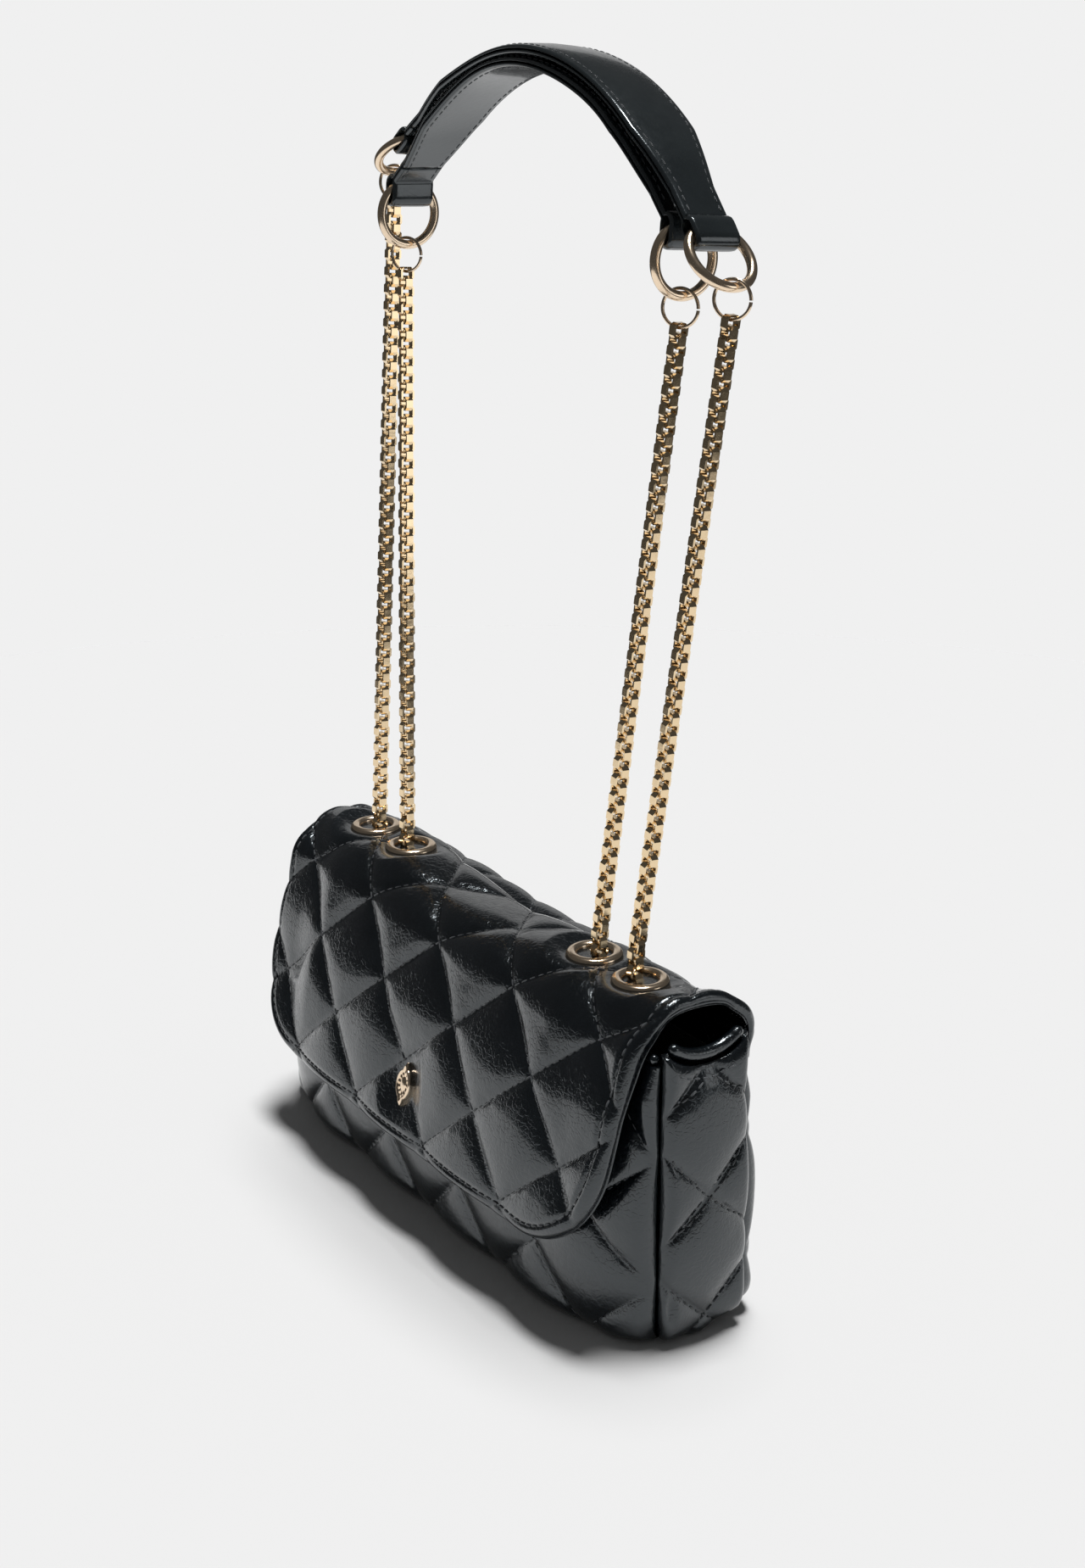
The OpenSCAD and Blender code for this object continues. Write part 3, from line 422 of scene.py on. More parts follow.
def sew(name, seams, length=2.7 * mm, gap=0.9 * mm, radius=0.40 * mm, sink=-0.35):
    """seams is a list of (points, normals) along seams. Puts a stitch at each step along them.
    sink is how deep a stitch lies in the leather, in parts of its radius, below 0 to stand out."""
    verts, faces = [], []
    for points, normals in seams:
        run = run_lengths(points)
        count = int((run[-1] - gap) / (length + gap))
        for i in range(count):
            middle = gap + (length + gap) * i + length / 2
            ends = [np.array([np.interp(middle + d, run, points[:, k]) for k in range(3)])
                    for d in (-length / 2, length / 2)]
            up = np.array([np.interp(middle, run, normals[:, k]) for k in range(3)])
            along = ends[1] - ends[0]
            size = np.linalg.norm(along)
            if size < length * 0.5:
                continue
            along /= size
            side = np.cross(along, up)
            side /= np.linalg.norm(side) + 1e-12
            up = np.cross(side, along)
            centre = (ends[0] + ends[1]) / 2 - up * radius * sink
            placed = (centre + stitch_points[:, :1] * side * radius + stitch_points[:, 1:2] * up * radius
                      + stitch_points[:, 2:] * along * size / 2)
            base = len(verts) * len(stitch_points)
            verts.append(placed)
            faces.extend(tuple(base + q for q in f) for f in stitch_faces)
    mesh = bpy.data.meshes.new(name)
    mesh.from_pydata(np.concatenate(verts), [], faces)
    mesh.shade_smooth()
    mesh.materials.append(thread_finish)
    piece = bpy.data.objects.new(name, mesh)
    bpy.context.scene.collection.objects.link(piece)
    print(name, len(verts), "stitches")
    return piece


def lattice_lines(a_low, a_high, b_low, b_high):
    """Ends of all slanted seams over a rectangle counted in diamonds, with points along each."""
    lines = []
    for sign in (1, -1):
        low = math.floor(a_low + min(sign * b_low, sign * b_high)) - 1
        high = math.ceil(a_high + max(sign * b_low, sign * b_high)) + 1
        for c in range(low, high + 1):
            b = np.linspace(b_low, b_high, 400)
            a = c - sign * b
            keep = (a >= a_low) & (a <= a_high)
            if keep.sum() > 8:
                lines.append((a[keep], b[keep]))
    return lines


# %% [markdown]
# ## The flap
# The flap is one quilted leather that starts sewn to the back, turns over the crown and hangs down
# the front, leaning away from the body at its lower edge. Its section is followed by its own length,
# and the diamonds are counted along it. The crown sags between the two pairs of eyelets, and the
# leather is pressed flat round each eyelet.

# %% Sizes of the flap's section, as in the model
half_length = 122.5 * mm
half_depth = 19.5 * mm
quilt_width = 49.0 * mm
quilt_height = 47.0 * mm
back_radius = 14.0 * mm
front_radius = 18.0 * mm
crown_width = 21.8 * mm
flap_top = 117.0 * mm
flap_thick = 4.1 * mm
slope = math.radians(14.6)
hinge_y = half_depth + 0.3 * mm + flap_thick
hinge_z = flap_top - back_radius
tail_length = 9.0 * mm
crown_back = hinge_y - back_radius
crown_front = crown_back - crown_width
back_arc = back_radius * math.pi / 2
crown_end = back_arc + crown_width
front_start = crown_end + front_radius * (math.pi / 2 - slope)
flap_length = front_start + 73.6 * mm
front_z = flap_top - front_radius + front_radius * math.sin(slope)
crossing_height = 61.0 * mm
crossing_s = front_start + (front_z - crossing_height) / math.cos(slope)
corner_radius = 38.5 * mm
corner_start = flap_length - corner_radius
eyelets = [(x * mm, -3 * mm) for x in (-88.5, -61.7, 61.7, 88.5)]
snap_height = 53.5 * mm
snap_s = front_start + (front_z - snap_height) / math.cos(slope)
print("flap length along its section", round(flap_length / mm, 1))


def flap_section(s):
    """Outer face of the flap's section at the length s, as y, z and the face's direction."""
    turn_back = np.clip(s, 0, back_arc) / back_radius
    turn_front = np.clip(s - crown_end, 0, front_start - crown_end) / front_radius
    y = np.where(s < back_arc, crown_back + back_radius * np.cos(turn_back),
        np.where(s < crown_end, crown_back - (s - back_arc), crown_front - front_radius * np.sin(turn_front)))
    z = np.where(s < crown_end, hinge_z + back_radius * np.sin(turn_back) + np.minimum(s, 0.0),
        flap_top - front_radius * (1 - np.cos(turn_front)))
    down = np.maximum(s - front_start, 0.0)
    y = y - down * math.sin(slope)
    z = z - down * math.cos(slope)
    tilt = np.where(s < back_arc, math.pi / 2 - turn_back, -turn_front)
    return y, z, np.sin(tilt), np.cos(tilt)


def flap_reach(s, side):
    """Half width of the flap at the length s, on the right (side 1) or the left (side -1)."""
    crown = (117.0 + 0.8 * side) * mm
    lower = (116.5 - 0.5 * side) * mm
    return crown + (lower - crown) * np.clip((s - crown_end) / (corner_start - crown_end), 0, 1)


def flap_half_width(s, inset, side):
    full = flap_reach(s, side)
    round_off = np.clip((s - corner_start) / (corner_radius - inset), 0, 1)
    corner = full - corner_radius + (corner_radius - inset) * np.sqrt(np.maximum(1 - round_off ** 2, 0))
    return np.where(s < corner_start, full - inset, corner)


def flap_edge(x, s, inset=0.0):
    """Distance from a place on the flap to its cut edge."""
    full = flap_reach(s, np.sign(x))
    side = full - np.abs(x)
    end = flap_length - s
    cx = np.abs(x) - (full - corner_radius)
    cs = s - corner_start
    corner = corner_radius - np.hypot(np.maximum(cx, 0), np.maximum(cs, 0))
    return np.where((cx > 0) & (cs > 0), corner, np.minimum(side, end)) - inset


def crown_shape(x, s):
    """How the crown sags between the eyelets and rises at the bag's ends."""
    on_crown = np.exp(-((s - (back_arc + crown_width / 2)) / (26 * mm)) ** 2)
    middle = np.clip(1 - (x / (52 * mm)) ** 2, 0, 1) ** 2
    ends = np.clip((np.abs(x) - 96 * mm) / (21 * mm), 0, 1) ** 2
    right = 0.5 + 0.5 * np.sign(x)
    return on_crown * (-4.6 * mm * middle + ends * (0.6 + 4.0 * right) * mm)


def front_swell(s):
    """The padded front of the flap bulges between the front roll and the lower edge."""
    return np.sin(np.pi * np.clip((s - 64 * mm) / (flap_length - 64 * mm), 0, 1)) ** 1.5


def flap_ease(x, s):
    """How far the leather settles in from its section, at its rolls, ends and lower edge.
    It stays on the section round each eyelet and round the snap, which the rosette covers."""
    y = flap_section(s)[0]
    away = np.min([np.hypot(x - ex, y - ey) + 30 * mm * (s > front_start) for ex, ey in eyelets], axis=0)
    free = smooth((away - 9 * mm) / (15 * mm))
    back = 7.8 * mm * np.exp(-((s - 15 * mm) / (8 * mm)) ** 2)
    back = back * (1 - 0.75 * smooth((x - 85 * mm) / (25 * mm)))
    middle = 1.5 * mm * (smooth((s - 40 * mm) / (16 * mm)) - smooth((s - 70 * mm) / (30 * mm)))
    roll = smooth((s - 38 * mm) / (18 * mm))
    right = 4.2 * roll - 2.7 * smooth((s - 60 * mm) / (28 * mm)) - 1.5 * smooth((s - 95 * mm) / (46 * mm))
    left = 4.2 * roll - 1.0 * smooth((s - 60 * mm) / (40 * mm)) - 3.2 * smooth((s - 108 * mm) / (33 * mm))
    share = smooth((np.abs(x) - 72 * mm) / (26 * mm))
    ends = np.where(x > 0, right, left) * mm
    lower = np.clip((s - front_start) / (flap_length - front_start), 0, 1) ** 2
    bow = 2.5 * mm * np.clip(np.abs(x) / (80 * mm), 0, 1) ** 2 * lower
    tail = 1.6 * mm * smooth(-s / (7 * mm))
    off_snap = smooth((np.hypot(x, s - snap_s) - 7 * mm) / (24 * mm))
    bulge = 1.8 * mm * front_swell(s) * (1 - share) * off_snap
    return free * (back + middle * (1 - share) + ends * share) + bow + tail - bulge


def flap_point(x, s, lift=0.0):
    y, z, ny, nz = flap_section(s)
    rise = crown_shape(x, s)
    lift = lift - flap_ease(x, s)
    return stack(x, y + ny * lift, z + nz * lift + rise), stack(np.zeros_like(x), ny, nz)


def seam_drift(s):
    """The quilting on the front hangs a little to the left of the quilting on the crown."""
    return 6.6 * mm * smooth((s - 50 * mm) / (75 * mm)) - 2.2 * mm * front_swell(s)


def flap_padding(x, s):
    base, normal = flap_point(x, s)
    edge = flap_edge(x, s, 0.5 * mm)
    across = (x + seam_drift(s)) / quilt_width
    lift = quilting(base, across, (s - crossing_s) / quilt_height, 3.0 * mm, edge, 3)
    lift = lift * (1 - 0.35 * np.exp(-((edge - 4.5 * mm) / (1.0 * mm)) ** 2))
    lift = lift * (1 - 0.6 * np.exp(-((s - 15 * mm) / (13 * mm)) ** 2))
    for ex, ey in eyelets:
        away = np.hypot(base[:, 0] - ex, base[:, 1] - ey)
        near = np.clip((away - 9.5 * mm) / (7 * mm), 0, 1) * (s < front_start) + (s >= front_start)
        lift = lift * near
    off_snap = np.hypot(x, (s - snap_s) * 0.85)
    lift = lift * np.clip((off_snap - 6.0 * mm) / (9 * mm), 0, 1) ** 0.6
    return lift * np.clip((s + tail_length) / (8 * mm), 0, 1) - turn_in(edge, 2.8 * mm)


def length_at(v, start, straight, inset):
    """Length along the flap for v from 0 to 1. The share past straight goes to the round corners."""
    turn = np.clip((v - straight) / (1 - straight), 0, 1) * math.pi / 2
    return np.where(v < straight, start + (corner_start - start) * v / straight,
        corner_start + (corner_radius - inset) * np.sin(turn))


def flap_surface(u, v):
    inset = 0.5 * mm
    s = np.minimum(length_at(v, -tail_length, 0.80, inset), flap_length - inset)
    x = flap_half_width(s, inset, np.sign(0.5 - u)) * (1 - 2 * u)
    return flap_point(x, s, flap_padding(x, s))


# %% Flap leather
flap_piece = leather_sheet("flap_leather", 340, 230, flap_surface, 2.2 * mm, bag_leather, crowd=0.6)
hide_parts("flap", "flap_tail")
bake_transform(flap_piece)
print("flap", len(flap_piece.data.vertices), "points")


# %% Leather that lines the flap, smooth and a little smaller
def flap_lining_surface(u, v):
    inset = 0.8 * mm
    s = length_at(v, 3 * mm, 0.74, inset)
    x = flap_half_width(s, inset, np.sign(0.5 - u)) * (1 - 2 * u)
    base, _ = flap_point(x, s)
    ripple = 0.35 * mm * waves(base, 0.02, 9)
    return flap_point(x, s, -3.3 * mm - np.abs(ripple) * 0.2)


flap_inside = leather_sheet("flap_inside_leather", 90, 70, flap_lining_surface, 0.7 * mm, bag_leather)
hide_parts("flap_lining")
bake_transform(flap_inside)

# %% [markdown]
# ## The flap's rolled edge
# A strip of the same leather is folded round the cut edge and sewn through. It is a rounded band
# swept along the edge, so a grid is laid on it: one way round the band, the other way along.


# %% Path of the edge and the band round it
def edge_path(inset):
    """Points along the flap's edge as x, s and the direction out of the flap, as an angle."""
    rims = {}
    for side in (1, -1):
        straight = np.linspace(-tail_length, corner_start, 130)
        down = [(flap_half_width(q, inset, side), q, 0.0) for q in straight]
        middle = flap_reach(corner_start, side) - corner_radius
        arc = corner_radius - inset
        corner = [(middle + arc * math.cos(t), corner_start + arc * math.sin(t), t)
                  for t in np.linspace(0, math.pi / 2, 40)[1:]]
        rims[side] = down + corner
    right = rims[1]
    left = [(-x, s, math.pi - t) for x, s, t in reversed(rims[-1])]
    lower = [(x, flap_length - inset, math.pi / 2) for x in np.linspace(right[-1][0], left[0][0], 90)[1:-1]]
    return np.array(right + lower + left)


def band_surface(path, across, up_half, drop):
    """Rounded band round a path on the flap: across is its half width, up_half its half height."""
    def surface(u, v):
        along = v * (len(path) - 1)
        x = np.interp(along, np.arange(len(path)), path[:, 0])
        s = np.interp(along, np.arange(len(path)), path[:, 1])
        t = np.interp(along, np.arange(len(path)), path[:, 2])
        y, z, ny, nz = flap_section(s)
        around = u * 2 * math.pi
        c, q = np.cos(around), np.sin(around)
        out = np.sign(c) * np.abs(c) ** 0.6 * across
        up = np.sign(q) * np.abs(q) ** 0.6 * up_half - drop
        tx, ts = np.cos(t), np.sin(t)
        wobble = 0.25 * mm * waves(stack(x, y, z), 0.018, 21) - flap_ease(x, s)
        rise = crown_shape(x, s)
        px = x + tx * out
        py = y + ny * (up + wobble) - nz * ts * out
        pz = z + nz * (up + wobble) + ny * ts * out + rise
        return stack(px, py, pz), stack(np.zeros_like(x), ny, nz)
    return surface


def closed_band(name, path, across, up_half, drop, around, along, finish):
    band = leather_sheet(name, around, along, band_surface(path, across, up_half, drop), 0, finish)
    close_up()
    return band


flap_band = closed_band(
    "flap_edge_band", edge_path(1.9 * mm), 1.3 * mm, 0.9 * mm, 2.55 * mm, 16, 520, bag_leather)
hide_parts("flap_binding")
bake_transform(flap_band)
print("edge band", len(flap_band.data.vertices), "points")

# %% Seams of the flap, sewn
flap_seams = []
first_row, last_row = ((q - crossing_s) / quilt_height for q in (-tail_length, flap_length))
for a, b in lattice_lines(-2.7, 2.7, first_row, last_row):
    s = b * quilt_height + crossing_s
    x = a * quilt_width - seam_drift(s)
    base, _ = flap_point(x, s)
    keep = (flap_edge(x, s, 4.5 * mm) > 0) & (s > -tail_length + 1 * mm)
    for ex, ey in eyelets:
        keep &= (np.hypot(base[:, 0] - ex, base[:, 1] - ey) > 10.2 * mm) | (s > front_start)
    keep &= np.hypot(x, (s - snap_s) * 0.8) > 6.5 * mm
    for part in kept_runs(keep):
        flap_seams.append(flap_point(x[part], s[part], flap_padding(x[part], s[part])))
flap_seam_thread = sew("flap_seam_thread", flap_seams)
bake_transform(flap_seam_thread)

inner_edge = edge_path(5.0 * mm)
edge_x, edge_s = inner_edge[:, 0], inner_edge[:, 1]
edge_points, edge_normals = flap_point(edge_x, edge_s, flap_padding(edge_x, edge_s))
flap_edge_thread = sew("flap_edge_thread", [(edge_points, edge_normals)])
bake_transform(flap_edge_thread)

# %% [markdown]
# ## The body
# Front, back and two end gussets are quilted sheets. Each turns inward along its upright seams, so
# that two puffs meet in a deep seam at every corner, and the front and back turn under at the base.

# %% Sizes of the body, as in the model
panel_height = 102.0 * mm
gusset_height = 106.0 * mm
front_bulge = 16.5 * mm
back_bulge = 9.0 * mm
bulge_height = 35.0 * mm
seam_turn = 5.0 * mm
gusset_row = 7.5 * mm
dip_arc = 23.8 * mm
dip_depth = 6.0 * mm
dip_reach = 15.8 * mm


def swell(z, top):
    high = np.clip(np.sin(np.pi / 2 * (top - z) / (top - bulge_height)), 0, 1) ** 1.4
    low = 1 - 0.10 * ((bulge_height - z) / bulge_height) ** 2
    return np.where(z > bulge_height, high, low)


def settle(points, z):
    """Rounds the body's four lower corners, where the leather draws in towards the base."""
    away = np.hypot(np.abs(points[:, 0]) - 121 * mm, np.abs(points[:, 1]) - 19 * mm)
    pull = 0.40 * turn_in(z, 12 * mm) * smooth(1 - away / (18 * mm))
    rise = 3.0 * mm * smooth(1 - away / (26 * mm)) * np.clip(1 - z / (35 * mm), 0, 1) * (points[:, 1] > 0)
    return points - stack(np.sign(points[:, 0]) * pull, np.sign(points[:, 1]) * pull, -rise)


def back_lean(x, z):
    """How far the back leans in at the top, near the bag's ends."""
    return 1.6 * mm * smooth((z - 55 * mm) / (40 * mm)) * smooth((np.abs(x) - 85 * mm) / (30 * mm))


def long_panel_surface(bulge, power, top, seed, plain_snap, sign):
    def surface(u, v):
        x = half_length * (1 - 2 * u) * sign
        z = panel_height * v
        face = half_depth + bulge * swell(z, top) * (1 - np.abs(x / half_length) ** power)
        end = half_length - np.abs(x)
        face = face - np.maximum(0.6 * turn_in(end, seam_turn), 0.75 * turn_in(z, 7 * mm))
        base = stack(x, -face * sign, z)
        edge = np.minimum(end, np.minimum(z + 3 * mm, panel_height - z))
        lift = quilting(base, x / quilt_width, z / quilt_height, 3.0 * mm, edge, seed)
        if plain_snap:
            lift = lift * np.clip((np.hypot(x, z - snap_height) - 8 * mm) / (10 * mm), 0, 1)
        lift = lift * np.clip((top - z) / (12 * mm), 0.0, 1)
        if sign < 0:
            face = face - back_lean(x, z)
        x = x - np.sign(x) * 0.55 * turn_in(end, seam_turn)
        none = np.zeros_like(x)
        return settle(stack(x, -(face + lift) * sign, z), z), stack(none, np.full_like(x, -sign), none)
    return surface


front_surface = long_panel_surface(front_bulge, 6.5, panel_height, 31, True, 1)
back_surface = long_panel_surface(back_bulge, 8.0, 93.8 * mm, 41, False, -1)
body_pieces = {}
for side, surface in (("front", front_surface), ("back", back_surface)):
    piece = leather_sheet(f"{side}_leather", 290, 124, surface, 3.0 * mm, bag_leather, crowd=0.6)
    body_pieces[piece.name] = (piece, f"{side}_panel")


# %% Gussets
def gusset_surface(sign, seed):
    half = half_depth - 0.6 * mm
    def surface(u, v):
        y = half * (2 * u - 1) * sign
        dip = dip_arc - dip_depth - np.sqrt(dip_arc ** 2 - np.minimum(np.abs(y), dip_reach) ** 2)
        z = (gusset_height + dip) * v
        end = half - np.abs(y)
        out = half_length + 2.5 * mm * np.sin(np.pi * v) * (1 - (y / half) ** 2)
        out = out - np.maximum(0.65 * turn_in(end, seam_turn), 0.6 * turn_in(z, 6 * mm))
        base = stack(out * sign, y, z)
        edge = np.minimum(end, np.minimum(z + 3 * mm, (gusset_height + dip) - z))
        lift = quilting(base, y / quilt_width, (z - gusset_row) / quilt_height, 3.2 * mm, edge, seed)
        pinch = np.exp(-((y + 14.6 * mm) / (1.9 * mm)) ** 2 - ((z - 14 * mm) / (5 * mm)) ** 2)
        out = out - 1.6 * mm * pinch
        y = y - np.sign(y) * 0.45 * turn_in(end, seam_turn)
        y = y - np.clip(y / half, 0, 1) * back_lean(out, z)
        none = np.zeros_like(y)
        return settle(stack((out + lift) * sign, y, z), z), stack(np.full_like(y, sign), none, none)
    return surface


for side, sign, seed in (("right", 1, 51), ("left", -1, 61)):
    surface = gusset_surface(sign, seed)
    piece = leather_sheet(f"gusset_leather_{side}", 72, 136, surface, 2.6 * mm, bag_leather, crowd=0.6)
    body_pieces[piece.name] = (piece, f"gusset_{side}")


# %% Base panel, flat where the bag stands and turned up at its border
def base_surface(u, v):
    x = (half_length - 4 * mm) * (2 * u - 1)
    low = -(half_depth + front_bulge * 0.9 * (1 - np.abs(x / half_length) ** 6.5) - 4.6 * mm)
    high = half_depth + back_bulge * 0.9 * (1 - np.abs(x / half_length) ** 8) - 4.6 * mm
    y = high + (low - high) * v
    edge = np.minimum(np.minimum(y - low, high - y), half_length - 4 * mm - np.abs(x))
    base = stack(x, y, np.zeros_like(x))
    z = 0.05 * mm + 0.9 * turn_in(edge, 4 * mm) * 0.6 + 0.1 * mm * np.abs(waves(base, 0.02, 77))
    none = np.zeros_like(x)
    return settle(stack(x, y, z), none), stack(none, none, -np.ones_like(x))


base_piece = leather_sheet("base_leather", 120, 30, base_surface, 3.0 * mm, bag_leather)
body_pieces["base_leather"] = (base_piece, "base_panel")
for name, (piece, node) in body_pieces.items():
    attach(piece, "bag")
    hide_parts(node)
print("body pieces", list(body_pieces))

# %% Body seams, sewn
def seams_on(surface, lines, keep_edge):
    """Follows lattice lines over a panel whose surface takes u and v from 0 to 1."""
    found = []
    for u, v in lines:
        inside = (u > keep_edge) & (u < 1 - keep_edge) & (v > 0.03) & (v < 0.97)
        found += [surface(u[part], v[part]) for part in kept_runs(inside)]
    return found


long_lines = [((1 - a * quilt_width / half_length) / 2, b * quilt_height / panel_height)
              for a, b in lattice_lines(-2.5, 2.5, 0, panel_height / quilt_height)]
gusset_half = half_depth - 0.6 * mm
gusset_lines = [((a * quilt_width / gusset_half + 1) / 2, (b * quilt_height + gusset_row) / (104 * mm))
                for a, b in lattice_lines(-0.4, 0.4, -0.2, 2.1)]
body_seams = seams_on(front_surface, long_lines, 0.02) + seams_on(back_surface, long_lines, 0.02)
for sign, seed in ((1, 51), (-1, 61)):
    body_seams += seams_on(gusset_surface(sign, seed), gusset_lines, 0.08)
    body_seams.append(gusset_surface(sign, seed)(np.linspace(0.14, 0.86, 80), np.full(80, 0.957)))
body_thread = sew("body_seam_thread", body_seams)
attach(body_thread, "bag")

# %% [markdown]
# ## Mouth of the bag
# The upper edges of all four sides are rolled over and sewn. Each roll is a slightly uneven tube
# on the model's own roll, and the cloth lining hangs inside.


# %% Rolled hems
def tube(name, points, radius, around, finish, seed):
    points = np.array(points)
    length = run_lengths(points)
    def surface(u, v):
        at = v * length[-1]
        p = stack(*[np.interp(at, length, points[:, k]) for k in range(3)])
        q = stack(*[np.interp(at + 0.5 * mm, length, points[:, k]) for k in range(3)])
        r = stack(*[np.interp(at - 0.5 * mm, length, points[:, k]) for k in range(3)])
        along = q - r
        along /= np.linalg.norm(along, axis=1, keepdims=True) + 1e-12
        side = np.cross(along, np.array([0, 0, 1.0]))
        side /= np.linalg.norm(side, axis=1, keepdims=True) + 1e-12
        up = np.cross(side, along)
        cap = np.clip(np.minimum(at, length[-1] - at) / radius, 0, 1)
        size = (radius + 0.25 * mm * waves(p, 0.012, seed)) * np.sqrt(1 - (1 - cap) ** 2 * 0.98)
        a = u * 2 * math.pi
        return p + (np.cos(a) * size)[:, None] * side + (np.sin(a) * size)[:, None] * up, up
    piece = leather_sheet(name, around, max(int(length[-1] / (1.0 * mm)), 12), surface, 0, finish)
    close_up()
    return piece


hems = []
for name, node in (("front_hem_roll", "front_hem"), ("back_hem_roll", "back_hem")):
    low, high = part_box(node)
    y, z = (low[1] + high[1]) / 2, (low[2] + high[2]) / 2
    path = [(x, y, z) for x in np.linspace(low[0], high[0], 40)]
    hems.append((tube(name, path, 1.7 * mm, 14, bag_leather, 71), node))
for side, sign in (("right", 1), ("left", -1)):
    node = f"gusset_hem_{side}"
    low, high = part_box(node)
    x = (low[0] + high[0]) / 2
    arc, centre = dip_arc - 1.7 * mm - 0.5 * mm, gusset_height - dip_depth + dip_arc
    reach = math.asin(dip_reach / dip_arc)
    path = [(x, arc * math.sin(t), centre - arc * math.cos(t)) for t in np.linspace(-reach, reach, 40)]
    if side == "right":
        path = [(x, y, z + 0.9 * mm) for x, y, z in path]
    radius = (1.9 + 0.2 * sign) * mm
    hems.append((tube(f"gusset_hem_roll_{side}", path, radius, 18, bag_leather, 73), node))
for piece, node in hems:
    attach(piece, "bag")
    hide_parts(node)
print("hems", [p.name for p, n in hems])

# %% Cloth lining, with soft folds
bpy.ops.object.select_all(action="DESELECT")
lining_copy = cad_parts["lining"].copy()
lining_copy.data = lining_copy.data.copy()
lining_copy.name = "lining_bag"
bpy.context.scene.collection.objects.link(lining_copy)
for key in list(lining_copy.keys()):
    del lining_copy[key]
lining_copy.parent = None
bpy.context.view_layer.objects.active = lining_copy
lining_copy.select_set(True)
bpy.ops.object.mode_set(mode="EDIT")
bpy.ops.mesh.select_all(action="SELECT")
bpy.ops.mesh.remove_doubles(threshold=0.00001)
bpy.ops.mesh.subdivide(number_cuts=2)
bpy.ops.object.mode_set(mode="OBJECT")
co = np.array([v.co for v in lining_copy.data.vertices])
fold = waves(co, 0.022, 81) * 0.5 * mm
co[:, 1] -= np.sign(co[:, 1]) * np.abs(fold)
lining_copy.data.vertices.foreach_set("co", co.ravel())
lining_copy.data.materials.clear()
lining_copy.data.materials.append(lining_cloth)
lining_copy.data.shade_smooth()
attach(lining_copy, "bag")
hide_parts("lining")

# %% [markdown]
# ## Shoulder pads
# Each pad is a long leather strip that turns round a ring at both ends and comes back underneath,
# where a second strip closes it. The strip is a rounded, slightly crowned section swept along a
# path in the handles' own plane, and it narrows towards its loops.

# %% The handles' plane and the pads' places, as in the model
link_pitch = 3.05 * mm
lean = math.radians(4.1)
pivot = np.array([-3.0 * mm, 117.85 * mm])
for n in (1, 2, 3):
    a = n * lean / 4
    pivot = pivot + link_pitch * np.array([math.sin(a), math.cos(a)])


def in_plane(x, y, z):
    """A place in the handles' plane, leaning back from the top of the folding links."""
    back = pivot[0] + y * math.cos(lean) + z * math.sin(lean)
    up = pivot[1] - y * math.sin(lean) + z * math.cos(lean)
    return stack(x, back, up)


arch_centre = (304 * mm - pivot[1]) / math.cos(lean)
outer_radius = 105.2 * mm
inner_radius = 90.0 * mm
inner_centre = arch_centre + outer_radius - 4.1 * mm - inner_radius
ring_radius = (25 - 3.2) / 2 * mm
ply = 1.7 * mm
pad_half = 97.5 * mm


def pad_path(radius, arch_half, left_swing, right_swing):
    """Middle line of the pad's strip in the arch's own frame, from one turned end to the other."""
    straight = pad_half - radius * arch_half
    loop = 1.9 * mm + ply / 2
    rise = math.sqrt(ring_radius ** 2 - (8 * mm) ** 2)
    slot = ring_radius - rise + 1.6 * mm * (ring_radius / rise - 1) + 0.3 * mm
    def right(swing):
        d = np.array([math.cos(arch_half), -math.sin(arch_half)])
        n = np.array([math.sin(arch_half), math.cos(arch_half)])
        c = radius * n + straight * d
        hang = np.array([math.sin(swing), -math.cos(swing)])
        meet = math.asin(ply / 2 / loop)
        back = math.pi - arch_half
        def arc(m, a, b, k):
            return [m + loop * np.array([math.cos(t), math.sin(t)]) for t in np.linspace(a, b, k)]
        over = [radius * n + n * ply / 2 + d * straight * t for t in np.linspace(0, 0.9, 8)[1:]]
        under = [radius * n - n * ply / 2 + d * straight * t for t in np.linspace(0.9, 0.62, 4)]
        return (over + arc(c, back - meet, swing, 7) + arc(c + slot * hang, swing, swing - math.pi, 13)
                + arc(c, swing + math.pi, back + meet, 5) + under)
    turns = np.linspace(-arch_half, arch_half, 50)
    arch = [(radius + ply / 2) * np.array([math.sin(t), math.cos(t)]) for t in turns]
    left = [np.array([-p[0], p[1]]) for p in reversed(right(-left_swing))]
    return np.array(left + arch + right(right_swing))


def pad_width(distance, reach):
    share = np.abs(distance) / reach
    return np.interp(share, [0, 0.66, 0.88, 1.2], [12.5 * mm, 12.5 * mm, 8.4 * mm, 8.2 * mm])


